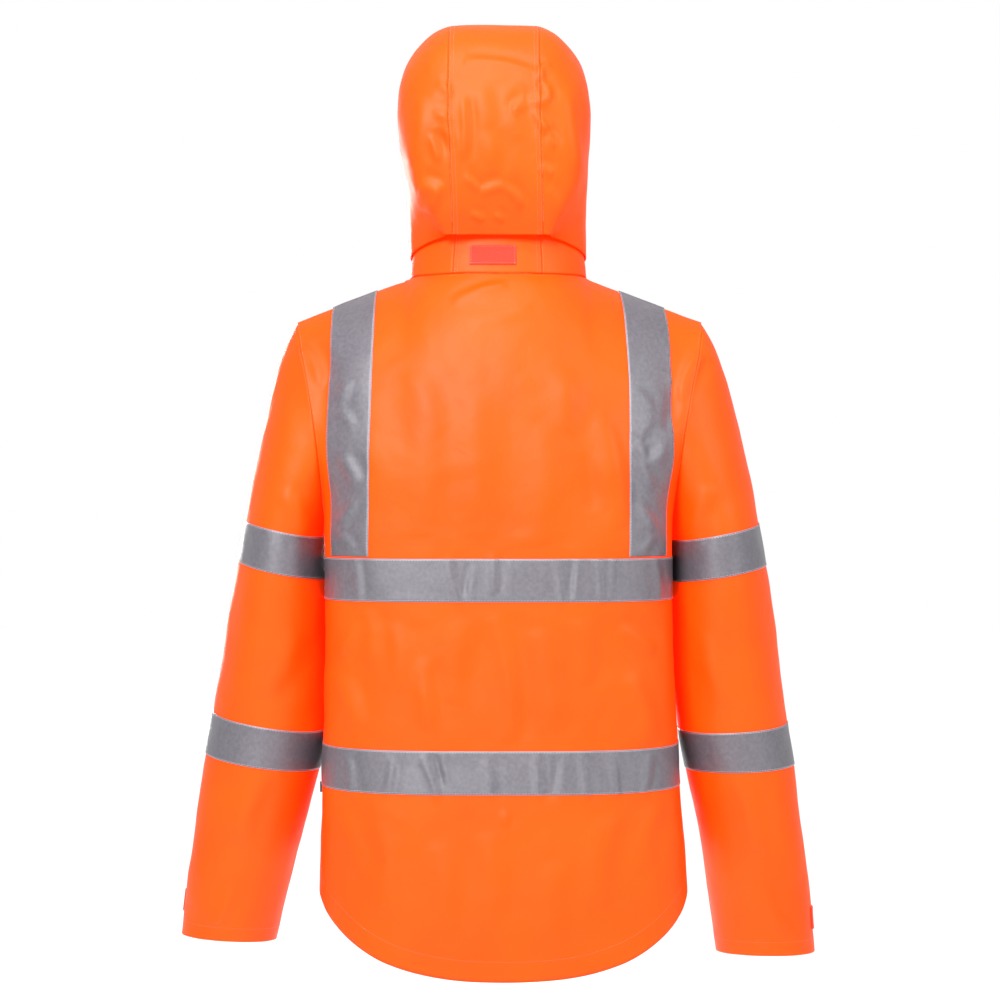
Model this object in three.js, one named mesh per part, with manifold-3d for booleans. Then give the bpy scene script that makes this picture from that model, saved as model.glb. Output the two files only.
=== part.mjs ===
// Hi-vis work jacket in the hollow form that it has when it is worn, hood up and zip closed.
// Millimetres. +Z is up, the front faces -Y and the wearer's left is +X.
// The origin is the centre of the neck, level with the back of the neck seam.
import Module from 'manifold-3d';
import * as THREE from 'three';
import { mergeVertices } from 'three/addons/utils/BufferGeometryUtils.js';

// Cloth, tape and seams
const CLOTH = 1.6;
const TAPE = 1.0;
const TAPE_LIFT = 0.3;
const SEAM = 0.3;
const COLLAR_SEAM = 0.8;
const PATCH = 1.4;
const TAB = 2.0;

// Neck, shoulders and hem
const NECK = {
  half: 101, back: 66, front: -84, side: -5, side_drop: -2, front_drop: 75, front_power: 1.1,
};
const SHOULDER_TIP = { x: 230, y: -6, z: -47.5 };
const FRONT_EDGE = 3.8;
const BLADE_LEVEL = -200;
const ARMPIT_LEVEL = -284;
const HEM = { side: -665, front: -672, tail: -768, tail_half: 206, power: 2.25 };

// Levels of the two body bands, top and bottom edge, 50 mm apart
const UPPER_BAND = [-312, -362];
const LOWER_BAND = [-520, -570];

// Torso sections. side is the half-width, seam the depth of the side seam, back and front the depth on
// the centre lines, square the power of the rounded outline, lean the sideways shift.
const TORSO = [
  { z: 0, side: 200, seam: -8, back: 113, front: -127, square: 3.2, lean: -2 },
  { z: -100, side: 200, seam: -8, back: 113, front: -127, square: 3.2, lean: -5 },
  { z: -200, side: 200, seam: -8, back: 115, front: -128, square: 3.2, lean: -4 },
  { z: -284, side: 196, seam: -8, back: 115, front: -130, square: 3.4, lean: -3 },
  { z: -362, side: 196, seam: -8, back: 112, front: -130, square: 3.3, lean: -3 },
  { z: -450, side: 198, seam: -8, back: 111, front: -130, square: 3.2, lean: -4 },
  { z: -545, side: 201, seam: -8, back: 115, front: -131, square: 3.1, lean: -5 },
  { z: -636, side: 206, seam: -6, back: 121, front: -133, square: 3.0, lean: -7 },
  { z: -700, side: 209, seam: -5, back: 126, front: -134, square: 2.9, lean: -9 },
  { z: -780, side: 212, seam: -5, back: 130, front: -135, square: 2.9, lean: -10 },
];

// Armhole edges from the shoulder tip to the armpit. reach says how far the outline's
// rounding would run past the edge, as a share of the half-width.
const ARMHOLE = [
  { z: -47.5, back_x: 230, back_y: -6, front_x: 230, front_y: -6, reach: 1.12 },
  { z: -60, back_x: 229, back_y: 14, front_x: 227, front_y: -25, reach: 1.12 },
  { z: -90, back_x: 222, back_y: 38, front_x: 216, front_y: -46, reach: 1.12 },
  { z: -130, back_x: 213, back_y: 56, front_x: 203, front_y: -61, reach: 1.12 },
  { z: -165, back_x: 206, back_y: 62, front_x: 196, front_y: -67, reach: 1.11 },
  { z: -200, back_x: 201, back_y: 59, front_x: 193, front_y: -65, reach: 1.09 },
  { z: -228, back_x: 198, back_y: 47, front_x: 192, front_y: -55, reach: 1.05 },
  { z: -256, back_x: 197, back_y: 26, front_x: 193, front_y: -38, reach: 1.015 },
  { z: -284, back_x: 196, back_y: -8, front_x: 196, front_y: -8, reach: 1 },
];

// Columns of a half panel from its centre out. The top end is an angle round the neck or a
// distance along the shoulder, the low end a distance along the cloth or a share of what is left.
const COLUMNS = [
  { neck: 0, along: 0 },
  { neck: 16, along: 24 },
  { neck: 33, along: 48 },
  { neck: 51, along: 70 },
  { neck: 70, along: 89 },
  { neck: 90, along: 108 },
  { shoulder: 120, along: 127 },
  { shoulder: 138, along: 144 },
  { shoulder: 162, along: 173 },
  { shoulder: 187, along: 201 },
  { shoulder: 198, share: 0.25 },
  { shoulder: 208, share: 0.5 },
  { shoulder: 219, share: 0.75 },
  { shoulder: 230, share: 1 },
];
const NECK_CORNER = 5;
const BRACE = { inner: 7, outer: 9 };

// Rows of a panel: steps over the shoulder, then levels, then steps that turn into the hem's line
const SHOULDER_STEPS = 6;
const OUTLINE_STEPS = 120;
const EDGE_PULL = 1.5;
const LEVELS = [-200, -228, -256, -284, -312, -337, -362, -400, -440, -480, -520, -545, -570, -600];
const HEM_STEPS = 4;
const ARMPIT_ROW = SHOULDER_STEPS + LEVELS.indexOf(ARMPIT_LEVEL);
const rowOf = (level) => SHOULDER_STEPS + LEVELS.indexOf(level);

// How the cloth leaves the neck and shoulder seams: shares of the way out and down
const OVER_SHOULDER = { back: { out: 0.8, down: 0.14 }, front: { out: 0.72, down: 0.16 } };

// Folds: soft ridges (+) and troughs (-) along a line from x0,z0 to x1,z1
const BACK_FOLDS = [
  { x0: -112, z0: -160, x1: -136, z1: -286, width: 15, height: 2.6 },
  { x0: -92, z0: -176, x1: -112, z1: -270, width: 12, height: -2 },
  { x0: -212, z0: -84, x1: -180, z1: -128, width: 14, height: -3 },
  { x0: -196, z0: -150, x1: -150, z1: -190, width: 12, height: -2 },
  { x0: -194, z0: -200, x1: -148, z1: -240, width: 12, height: 2 },
  { x0: 214, z0: -84, x1: 186, z1: -128, width: 14, height: -3 },
  { x0: 172, z0: -200, x1: 146, z1: -240, width: 12, height: -2.4 },
  { x0: 52, z0: -34, x1: -14, z1: -16, width: 12, height: -2 },
  { x0: 138, z0: -372, x1: 144, z1: -440, width: 14, height: -2.6 },
  { x0: 82, z0: -410, x1: 66, z1: -500, width: 15, height: 2.8 },
  { x0: 2, z0: -380, x1: -18, z1: -510, width: 15, height: -2.4 },
  { x0: -134, z0: -380, x1: -176, z1: -420, width: 14, height: -2.6 },
  { x0: -70, z0: -420, x1: -84, z1: -506, width: 14, height: 2 },
  { x0: 168, z0: -590, x1: 150, z1: -680, width: 16, height: -2.6 },
  { x0: -12, z0: -600, x1: -22, z1: -690, width: 16, height: 2 },
  { x0: -150, z0: -600, x1: -140, z1: -690, width: 16, height: -2.4 },
];
const FRONT_FOLDS = [
  { x0: 208, z0: -90, x1: 172, z1: -150, width: 14, height: -3 },
  { x0: 60, z0: -90, x1: 96, z1: -190, width: 16, height: 2.4 },
  { x0: 120, z0: -200, x1: 134, z1: -300, width: 15, height: -2.4 },
  { x0: 60, z0: -380, x1: 48, z1: -500, width: 16, height: 2.6 },
  { x0: 120, z0: -380, x1: 138, z1: -500, width: 15, height: -2.6 },
  { x0: 90, z0: -590, x1: 82, z1: -660, width: 16, height: -2 },
  { x0: 160, z0: -590, x1: 166, z1: -660, width: 14, height: 2 },
];

// Sleeve rings from the armpit to the cuff. z, x, y are the ring's middle, half and deep its half-width
// and half-depth, rise lifts its outer side and dip drops its back, in degrees.
const SLEEVES = {
  left: {
    side: 1,
    cap_bulge: 17,
    tape_rings: [[-280, -330], [-501, -551]],
    tab_rings: [-707, -732],
    tab_columns: [0, 12],
    rings: [
      { z: -280, x: 242.7, y: -27, half: 45, deep: 87, rise: 12, dip: 2 },
      { z: -330, x: 247, y: -30, half: 50.5, deep: 84, rise: 12, dip: 2 },
      { z: -400, x: 253.3, y: -35, half: 57.7, deep: 80, rise: 11, dip: 2 },
      { z: -470, x: 259.5, y: -39, half: 62.5, deep: 76, rise: 10, dip: 2 },
      { z: -526, x: 265.5, y: -42, half: 66, deep: 71, rise: 9, dip: 1.5 },
      { z: -560, x: 271.5, y: -43, half: 66.5, deep: 69, rise: 8, dip: 1 },
      { z: -610, x: 282.3, y: -47, half: 63.8, deep: 65, rise: 7, dip: 0 },
      { z: -660, x: 292.7, y: -51, half: 61.2, deep: 62, rise: 6, dip: -2 },
      { z: -710, x: 302.3, y: -55, half: 58.5, deep: 58.5, rise: 5, dip: -4 },
      { z: -757, x: 311, y: -58, half: 56, deep: 55.5, rise: 4, dip: -5 },
    ],
    levels: [-280, -305, -330, -372, -416, -460, -501, -526, -551, -598, -652, -707, -732, -746, -757],
    folds: [
      { turn0: 60, z0: -110, turn1: 95, z1: -190, width: 16, height: -3 },
      { turn0: 80, z0: -350, turn1: 60, z1: -480, width: 15, height: 3 },
      { turn0: 30, z0: -345, turn1: 36, z1: -450, width: 15, height: -2.6 },
      { turn0: 110, z0: -590, turn1: 80, z1: -680, width: 15, height: -3 },
      { turn0: 40, z0: -600, turn1: 52, z1: -690, width: 15, height: 2.6 },
      { turn0: -60, z0: -350, turn1: -80, z1: -470, width: 16, height: -3 },
      { turn0: -100, z0: -430, turn1: -50, z1: -500, width: 14, height: -3 },
      { turn0: -70, z0: -600, turn1: -56, z1: -680, width: 16, height: 2.6 },
    ],
  },
  right: {
    side: -1,
    cap_bulge: 22,
    tape_rings: [[-284, -334], [-507, -557]],
    tab_rings: [-722, -747],
    tab_columns: [1, 12],
    rings: [
      { z: -284, x: 252, y: -27, half: 50, deep: 86, rise: 11, dip: 2 },
      { z: -334, x: 257, y: -30, half: 54.5, deep: 83, rise: 10, dip: 2 },
      { z: -400, x: 263, y: -34, half: 59.5, deep: 78, rise: 8, dip: 2 },
      { z: -470, x: 269.5, y: -38, half: 62, deep: 75, rise: 5, dip: 2 },
      { z: -532, x: 278, y: -42, half: 62.8, deep: 70, rise: 2.5, dip: 1.5 },
      { z: -562, x: 282.5, y: -43, half: 63, deep: 68, rise: 2, dip: 1 },
      { z: -612, x: 291.5, y: -47, half: 61, deep: 64.5, rise: 1.5, dip: 0 },
      { z: -662, x: 299, y: -51, half: 60.5, deep: 61.5, rise: 1, dip: -2 },
      { z: -712, x: 306, y: -55, half: 60, deep: 59, rise: 0.5, dip: -4 },
      { z: -774, x: 313.5, y: -59, half: 58.5, deep: 56, rise: 0, dip: -5 },
    ],
    levels: [-284, -309, -334, -376, -420, -464, -507, -532, -557, -604, -658, -722, -747, -761, -774],
    folds: [
      { turn0: 60, z0: -120, turn1: 100, z1: -200, width: 16, height: -3 },
      { turn0: 84, z0: -350, turn1: 70, z1: -490, width: 15, height: 2.8 },
      { turn0: 40, z0: -350, turn1: 30, z1: -460, width: 15, height: -2.6 },
      { turn0: 100, z0: -590, turn1: 84, z1: -690, width: 15, height: -2.8 },
      { turn0: 50, z0: -600, turn1: 40, z1: -700, width: 15, height: 2.6 },
      { turn0: -60, z0: -350, turn1: -74, z1: -470, width: 16, height: -3 },
      { turn0: -104, z0: -440, turn1: -56, z1: -500, width: 14, height: -3 },
      { turn0: -70, z0: -610, turn1: -60, z1: -690, width: 16, height: 2.6 },
    ],
  },
};
const CAP = { along: 0.16, bulge_deep: 12 };
const CAP_STEPS = 5;
const ARMHOLE_GAP = 0.55;
const UNDERARM = { from: -120, to: -250 };

// Stand collar: its top line, and its columns as angles round the neck from the centre back
const COLLAR = {
  half: 92, back: 57, front: -90, side: -7, side_top: 52, back_top: 62, front_top: 8,
  front_power: 1.2, bow: 1.5,
};
const COLLAR_CENTRE = [-29.5, -20, -11.7, 3, 18, 23.8, 29.5];
const COLLAR_SIDE = [29.5, 42, 51, 60, 70, 80, 90, 110, 129, 147, 164, 177.85];
const COLLAR_ROWS = [0, 0.15, 0.32, 0.5, 0.72, 1];
const PATCH_SPAN = { rows: [1, 3], columns: [2, 4] };

// Hood hoops from the nape (at 0) to the face edge (at 1). apex is the hoop's top, half its widest
// half-width, azimuth and rim_z its foot on the rim, off the rim's distance from the collar.
const HOOD = [
  { at: 0, apex_y: 72, apex_z: 42, half: 59, azimuth: 33.5, rim_z: 42, off: 9 },
  { at: 0.1, apex_y: 91, apex_z: 76, half: 70, azimuth: 43, rim_z: 39, off: 6 },
  { at: 0.2, apex_y: 105, apex_z: 120, half: 86, azimuth: 55, rim_z: 35, off: 3.5 },
  { at: 0.3, apex_y: 112, apex_z: 170, half: 95, azimuth: 67, rim_z: 31, off: 2.5 },
  { at: 0.4, apex_y: 106, apex_z: 220, half: 103, azimuth: 79, rim_z: 27, off: 2.2 },
  { at: 0.5, apex_y: 78, apex_z: 261, half: 108, azimuth: 91, rim_z: 24, off: 2.2 },
  { at: 0.6, apex_y: 36, apex_z: 282, half: 109, azimuth: 104, rim_z: 20, off: 2.2 },
  { at: 0.7, apex_y: -8, apex_z: 287.5, half: 109, azimuth: 117, rim_z: 15, off: 2.2 },
  { at: 0.8, apex_y: -50, apex_z: 285, half: 105, azimuth: 131, rim_z: 10, off: 2.2 },
  { at: 0.9, apex_y: -90, apex_z: 275, half: 99, azimuth: 145, rim_z: 5, off: 2.2 },
  { at: 1, apex_y: -120, apex_z: 258, half: 92, azimuth: 158, rim_z: 0, off: 2.2 },
];
const HOOD_STRIP = { half: 50, columns: 8 };
const HOOD_LEAN = { shift: 4, from: 40, over: 160 };
const RIM_DRAW = 0.35;

// Outline of a hoop from the strip's seam down to the rim: spread is the share of the widest
// half-width past the strip, down the share of the way from the apex to the rim.
const HOOP = [
  { along: 0, spread: 0, down: 0.004 },
  { along: 0.054, spread: 0.25, down: 0.021 },
  { along: 0.13, spread: 0.533, down: 0.074 },
  { along: 0.2, spread: 0.76, down: 0.135 },
  { along: 0.3, spread: 0.95, down: 0.23 },
  { along: 0.38, spread: 1, down: 0.32 },
  { along: 0.53, spread: 0.95, down: 0.49 },
  { along: 0.69, spread: 0.85, down: 0.66 },
  { along: 0.85, spread: 0.77, down: 0.837 },
  { along: 1, spread: 0.767, down: 1 },
];
const HOOP_COLUMNS = [0, 0.06, 0.13, 0.21, 0.3, 0.4, 0.52, 0.66, 0.82, 1];
const HOOD_ROWS = [0, 0.035, 0.09, 0.16, 0.23, 0.3, 0.37, 0.44, 0.51, 0.58, 0.65, 0.72, 0.79, 0.86, 0.93, 1];
const HOOD_FOLDS = [
  { x0: 36, z0: 214, x1: 36, z1: 140, width: 10, height: -2.2 },
  { x0: 30, z0: 250, x1: -34, z1: 240, width: 11, height: -2.4 },
  { x0: 18, z0: 100, x1: -30, z1: 84, width: 10, height: -2 },
  { x0: 70, z0: 180, x1: 86, z1: 90, width: 13, height: 2.4 },
  { x0: -72, z0: 200, x1: -84, z1: 100, width: 13, height: 2.4 },
  { x0: -62, z0: 150, x1: -66, z1: 80, width: 10, height: -2.2 },
];

// Zip: chain width and thickness, slider and pull tab
const CHAIN = { width: 7, thickness: 2.2, proud: 0.4 };
const SLIDER = { at: 0.8, width: 9, height: 13, thickness: 3, chamfer: 1.2, clear: 0.6 };
const BRIDGE = { width: 3, reach: 5.2, height: 9, bar: 1.5 };
const PULL = { length: 34, width: 9, thickness: 1.8, slot_width: 4.4, slot: 7.6, above: 0.9, segments: 6 };
const SIDE_LABEL = { height: 12, out: 3, thickness: 1.4, z: -576.6, gap: 0.6 };

// Middles of the forms, from which their outer faces look away
const TORSO_MIDDLE = new THREE.Vector3(0, 0, -420);
const SLEEVE_MIDDLE = new THREE.Vector3(268, -40, -420);
const HOOD_MIDDLE = new THREE.Vector3(0, -10, 150);

// Colours from the photo
function finish(color, roughness, metalness = 0) {
  return new THREE.MeshStandardMaterial({ color, roughness, metalness });
}

const SHELL = finish(0xff6e14, 0.62);
const REFLECTIVE = finish(0x9a969e, 0.45, 0.1);
const CORAL = finish(0xff5a3c, 0.85);
const LABEL = finish(0x1c191b, 0.8);
const CHAIN_ORANGE = finish(0xf0641e, 0.5);
const GREY_METAL = finish(0x55585c, 0.35, 0.8);

const wasm = await Module();
wasm.setup();
const jacket = new THREE.Group();

const radians = THREE.MathUtils.degToRad;
const mix = THREE.MathUtils.lerp;

function soft(value) {
  const t = THREE.MathUtils.clamp(value, 0, 1);
  return t * t * (3 - 2 * t);
}

// One column of a table at any place along its key column, on a smooth curve through its rows
function read(rows, key, place, column) {
  const sign = rows[0][key] < rows.at(-1)[key] ? 1 : -1;
  const last = rows.length - 1;
  let i = 0;
  while (i < last - 1 && sign * place > sign * rows[i + 1][key]) i += 1;
  const [a, b] = [rows[i], rows[i + 1]];
  const before = rows[Math.max(i - 1, 0)];
  const after = rows[Math.min(i + 2, last)];
  const gap = b[key] - a[key];
  const t = THREE.MathUtils.clamp((place - a[key]) / gap, 0, 1);
  const slopeA = (b[column] - before[column]) / (b[key] - before[key]);
  const slopeB = (after[column] - a[column]) / (after[key] - a[key]);
  const [t2, t3] = [t * t, t * t * t];
  return (2 * t3 - 3 * t2 + 1) * a[column] + (t3 - 2 * t2 + t) * gap * slopeA
    + (3 * t2 - 2 * t3) * b[column] + (t3 - t2) * gap * slopeB;
}

// Height of the folds at a place, each fading with the distance from its line
function foldHeight(folds, ends, a, b) {
  let height = 0;
  for (const fold of folds) {
    const [a0, b0, a1, b1] = ends.map((name) => fold[name]);
    const run = [a1 - a0, b1 - b0];
    const from = [a - a0, b - b0];
    const along = THREE.MathUtils.clamp(
      (run[0] * from[0] + run[1] * from[1]) / (run[0] ** 2 + run[1] ** 2), 0, 1);
    const away = Math.hypot(from[0] - along * run[0], from[1] - along * run[1]);
    height += fold.height * Math.exp(-((away / fold.width) ** 2));
  }
  return height;
}

// Normals of a grid of points, turned away from the middle of the form
function gridNormals(grid, middle, round = false) {
  const rows = grid.length;
  const columns = grid[0].length;
  const normals = grid.map((row, i) => row.map((point, j) => {
    const above = grid[Math.max(i - 1, 0)][j];
    const below = grid[Math.min(i + 1, rows - 1)][j];
    const before = round ? row[(j + columns - 1) % columns] : row[Math.max(j - 1, 0)];
    const after = round ? row[(j + 1) % columns] : row[Math.min(j + 1, columns - 1)];
    const across = after.clone().sub(before);
    return below.clone().sub(above).cross(across).normalize();
  }));
  let outward = 0;
  grid.forEach((row, i) => row.forEach((point, j) => {
    outward += normals[i][j].dot(point.clone().sub(middle));
  }));
  if (outward < 0) normals.flat().forEach((normal) => normal.negate());
  return normals;
}

const moved = (grid, normals, distance) => grid.map((row, i) => row.map(
  (point, j) => point.clone().addScaledVector(normals[i][j], distance)));

const part = (grid, rows, columns) => grid.slice(rows[0], rows[1] + 1).map(
  (row) => row.slice(columns[0], columns[1] + 1));

// Draws the edges of a grid in by half a seam gap, so that its neighbour clears it
function drawIn(grid, edges) {
  const out = grid.map((row) => row.map((point) => point.clone()));
  const step = (point, next) => {
    const way = next.clone().sub(point);
    return point.clone().addScaledVector(way, SEAM / 2 / way.length());
  };
  const last = grid[0].length - 1;
  if (edges.includes('top')) out[0] = grid[0].map((point, j) => step(point, grid[1][j]));
  if (edges.includes('bottom')) {
    out[grid.length - 1] = grid.at(-1).map((point, j) => step(point, grid.at(-2)[j]));
  }
  out.forEach((row) => {
    if (edges.includes('start')) row[0] = step(row[0], row[1]);
    if (edges.includes('end')) row[last] = step(row[last], row[last - 1]);
  });
  return out;
}

// A closed wall between an outer grid and an inner one, joined by rims along its open edges
function wallGeometry(outer, inner, round = false) {
  const rows = outer.length;
  const columns = outer[0].length;
  const points = [...outer.flat(), ...inner.flat()];
  const behind = rows * columns;
  const at = (i, j) => i * columns + (j % columns);
  const faces = [];
  const quad = (a, b, c, d) => faces.push(a, b, c, a, c, d);
  const spans = round ? columns : columns - 1;
  for (let i = 0; i < rows - 1; i += 1) {
    for (let j = 0; j < spans; j += 1) {
      const ring = [at(i, j), at(i + 1, j), at(i + 1, j + 1), at(i, j + 1)];
      quad(...ring);
      const [a, b, c, d] = ring.map((index) => index + behind);
      faces.push(a, c, b, a, d, c);
    }
  }
  for (let j = 0; j < spans; j += 1) {
    const [a, b] = [at(0, j), at(0, j + 1)];
    const [c, d] = [at(rows - 1, j), at(rows - 1, j + 1)];
    quad(b, b + behind, a + behind, a);
    quad(c, c + behind, d + behind, d);
  }
  for (let i = 0; i < rows - 1 && !round; i += 1) {
    const [a, b] = [at(i, 0), at(i + 1, 0)];
    const [c, d] = [at(i, columns - 1), at(i + 1, columns - 1)];
    quad(a, a + behind, b + behind, b);
    quad(d, d + behind, c + behind, c);
  }
  const geometry = new THREE.BufferGeometry();
  geometry.setAttribute('position', new THREE.Float32BufferAttribute(points.flatMap((p) => p.toArray()), 3));
  geometry.setIndex(faces);
  let volume = 0;
  for (let k = 0; k < faces.length; k += 3) {
    const [a, b, c] = faces.slice(k, k + 3).map((index) => points[index]);
    volume += a.dot(b.clone().cross(c));
  }
  if (volume < 0) geometry.setIndex(faces.toReversed());
  geometry.computeVertexNormals();
  return geometry;
}

function add(name, geometry, material) {
  const mesh = new THREE.Mesh(geometry, material);
  mesh.name = name;
  jacket.add(mesh);
  return mesh;
}

// A wall of cloth whose outer face is the grid
function addCloth(name, grid, normals, edges, { material = SHELL, thickness = CLOTH, round = false } = {}) {
  const outer = drawIn(grid, edges);
  add(name, wallGeometry(outer, moved(outer, normals, -thickness), round), material);
}

// A strip that lies on a wall, made from the wall's own points
function addOnTop(name, grid, normals, edges, option = {}) {
  const { material = REFLECTIVE, thickness = TAPE, round = false } = option;
  const face = drawIn(grid, edges);
  const outer = moved(face, normals, TAPE_LIFT + thickness);
  add(name, wallGeometry(outer, moved(face, normals, TAPE_LIFT), round), material);
}

// Point on the neck seam at an angle from the centre back
function neckPoint(degrees) {
  const angle = radians(degrees);
  const [across, back] = [Math.sin(angle), Math.cos(angle)];
  const depth = back > 0 ? NECK.back - NECK.side : NECK.side - NECK.front;
  const drop = back > 0
    ? NECK.side_drop * across ** 2
    : NECK.side_drop + (NECK.front_drop - NECK.side_drop) * (-back) ** NECK.front_power;
  return new THREE.Vector3(NECK.half * across, NECK.side + depth * back, -drop);
}

// Where a column starts, on the neck seam or on the shoulder seam
function topPoint(column, face) {
  if (column.neck !== undefined) {
    if (face === 'back') return neckPoint(column.neck);
    const point = neckPoint(180 - column.neck);
    point.x = Math.max(point.x, FRONT_EDGE);
    return point;
  }
  const t = (column.shoulder - NECK.half) / (SHOULDER_TIP.x - NECK.half);
  const y = mix(NECK.side, SHOULDER_TIP.y, t);
  return new THREE.Vector3(column.shoulder, y, mix(-NECK.side_drop, SHOULDER_TIP.z, t));
}

// Half a torso section at a level: a rounded outline, measured along the cloth from its centre
function halfSection(face, z) {
  const aboveArmpit = z > ARMPIT_LEVEL;
  const edge = aboveArmpit
    ? { x: read(ARMHOLE, 'z', z, `${face}_x`), y: read(ARMHOLE, 'z', z, `${face}_y`) }
    : { x: read(TORSO, 'z', z, 'side'), y: read(TORSO, 'z', z, 'seam') };
  const reach = aboveArmpit ? read(ARMHOLE, 'z', z, 'reach') : 1;
  const power = 2 / read(TORSO, 'z', z, 'square');
  const centre = read(TORSO, 'z', z, face);
  const end = Math.asin(Math.min(1, reach ** (-1 / power)));
  const low = Math.cos(end) ** power;
  const steps = OUTLINE_STEPS;
  const points = [];
  for (let i = 0; i <= steps; i += 1) {
    const angle = (end * i) / steps;
    const x = edge.x * reach * Math.sin(angle) ** power;
    const share = (Math.cos(angle) ** power - low) / (1 - low);
    points.push(new THREE.Vector2(i === steps ? edge.x : x, mix(edge.y, centre, i === steps ? 0 : share)));
  }
  const run = [0];
  for (let i = 1; i <= steps; i += 1) run.push(run[i - 1] + points[i].distanceTo(points[i - 1]));
  const total = run[steps];
  const at = (distance) => {
    let i = 0;
    while (i < steps - 1 && run[i + 1] < distance) i += 1;
    const t = THREE.MathUtils.clamp((distance - run[i]) / (run[i + 1] - run[i]), 0, 1);
    return points[i].clone().lerp(points[i + 1], t);
  };
  return { total, at };
}

// Place of a column on a section
function columnOn(section, column, face) {
  const brace = COLUMNS[BRACE.outer].along;
  const along = column.share === undefined ? column.along : mix(brace, section.total, column.share);
  const place = section.at(along);
  if (face === 'front') place.x = Math.max(place.x, FRONT_EDGE);
  return place;
}

// Height of the hem below a place on it
function hemLevel(face, x) {
  if (face === 'front') return mix(HEM.front, HEM.side, soft(x / HEM.tail_half));
  const out = Math.min(Math.abs(x) / HEM.tail_half, 1);
  return HEM.side + (HEM.tail - HEM.side) * (1 - out ** HEM.power) ** (1 / HEM.power);
}

// One column of half a panel, from the neck or shoulder to the hem
function panelColumn(face, column) {
  const top = topPoint(column, face);
  const points = [];
  const blade = columnOn(halfSection(face, BLADE_LEVEL), column, face);
  const low = new THREE.Vector3(blade.x, blade.y, BLADE_LEVEL);
  const turn = OVER_SHOULDER[face];
  const bend = new THREE.Vector3(
    mix(top.x, low.x, 0.5), mix(top.y, low.y, turn.out), mix(top.z, low.z, turn.down));
  const curve = new THREE.QuadraticBezierCurve3(top, bend, low);
  const pull = (column.share ?? 0) ** EDGE_PULL;
  const edgeEnd = new THREE.Vector3(
    read(ARMHOLE, 'z', BLADE_LEVEL, `${face}_x`),
    read(ARMHOLE, 'z', BLADE_LEVEL, `${face}_y`),
    BLADE_LEVEL,
  );
  const edgeTop = new THREE.Vector3(SHOULDER_TIP.x, SHOULDER_TIP.y, SHOULDER_TIP.z);
  const edgeBend = new THREE.Vector3(
    mix(edgeTop.x, edgeEnd.x, 0.5),
    mix(edgeTop.y, edgeEnd.y, turn.out),
    mix(edgeTop.z, edgeEnd.z, turn.down),
  );
  const edgeCurve = new THREE.QuadraticBezierCurve3(edgeTop, edgeBend, edgeEnd);
  for (let i = 0; i < SHOULDER_STEPS; i += 1) {
    const point = curve.getPoint(i / SHOULDER_STEPS);
    const edge = edgeCurve.getPoint(i / SHOULDER_STEPS);
    point.x += pull * (read(ARMHOLE, 'z', edge.z, `${face}_x`) - edge.x);
    point.y += pull * (read(ARMHOLE, 'z', edge.z, `${face}_y`) - edge.y);
    points.push(point);
  }
  for (const z of LEVELS) {
    const place = columnOn(halfSection(face, z), column, face);
    points.push(new THREE.Vector3(place.x, place.y, z));
  }
  const start = LEVELS.at(-1);
  const hem = hemLevel(face, points.at(-1).x);
  for (let i = 1; i <= HEM_STEPS; i += 1) {
    const z = mix(start, hem, i / HEM_STEPS);
    const place = columnOn(halfSection(face, z), column, face);
    points.push(new THREE.Vector3(place.x, place.y, z));
  }
  return points;
}

// Half a panel as rows of points, on the side given by its sign
function halfPanel(face, side) {
  const columns = COLUMNS.map((column) => panelColumn(face, column));
  const lean = (point) => read(TORSO, 'z', point.z, 'lean');
  const placed = (point) => new THREE.Vector3(side * point.x + lean(point), point.y, point.z);
  return columns[0].map((_, i) => columns.map((column) => placed(column[i])));
}

const mirrorJoin = (right, left) => right.map((row, i) => [...row.slice(1).reverse(), ...left[i]]);

// Raises the folds on a panel, but for the seams round it
function foldPanel(grid, normals, folds, sign = 1) {
  const last = grid[0].length - 1;
  const ends = ['x0', 'z0', 'x1', 'z1'];
  return grid.map((row, i) => row.map((point, j) => {
    if (i === 0 || j === 0 || j === last) return point.clone();
    const height = foldHeight(folds, ends, sign * point.x, point.z);
    return point.clone().addScaledVector(normals[i][j], height);
  }));
}

function shareNormal(a, b) {
  const both = a.clone().add(b).normalize();
  a.copy(both);
  b.copy(both);
}

// Back and fronts, with the normals along their seams shared so that the walls mitre
const LAST = COLUMNS.length - 1;
const BACK_COLUMNS = 2 * LAST;

const backPlain = mirrorJoin(halfPanel('back', -1), halfPanel('back', 1));
const backGrid = foldPanel(backPlain, gridNormals(backPlain, TORSO_MIDDLE), BACK_FOLDS);
const backNormals = gridNormals(backGrid, TORSO_MIDDLE);

function frontPanel(side) {
  const plain = halfPanel('front', side);
  const grid = foldPanel(plain, gridNormals(plain, TORSO_MIDDLE), FRONT_FOLDS, side);
  const normals = gridNormals(grid, TORSO_MIDDLE);
  normals.forEach((row) => row[0].setX(0).normalize());
  return { grid, normals };
}

const fronts = { left: frontPanel(1), right: frontPanel(-1) };
const backColumn = (side, column) => LAST + side * column;

for (const [name, side] of [['left', 1], ['right', -1]]) {
  const front = fronts[name].normals;
  for (let j = NECK_CORNER; j <= LAST; j += 1) shareNormal(backNormals[0][backColumn(side, j)], front[0][j]);
  for (let i = ARMPIT_ROW; i < front.length; i += 1) {
    const seam = backColumn(side, LAST);
    shareNormal(backNormals[i][seam], front[i][LAST]);
    backNormals[i][seam].setY(0).normalize();
    front[i][LAST].copy(backNormals[i][seam]);
  }
}

function addPanels() {
  addCloth('back', backGrid, backNormals, ['top', 'start', 'end']);
  addCloth('front_left', fronts.left.grid, fronts.left.normals, ['top', 'end']);
  addCloth('front_right', fronts.right.grid, fronts.right.normals, ['top', 'end']);
}

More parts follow.
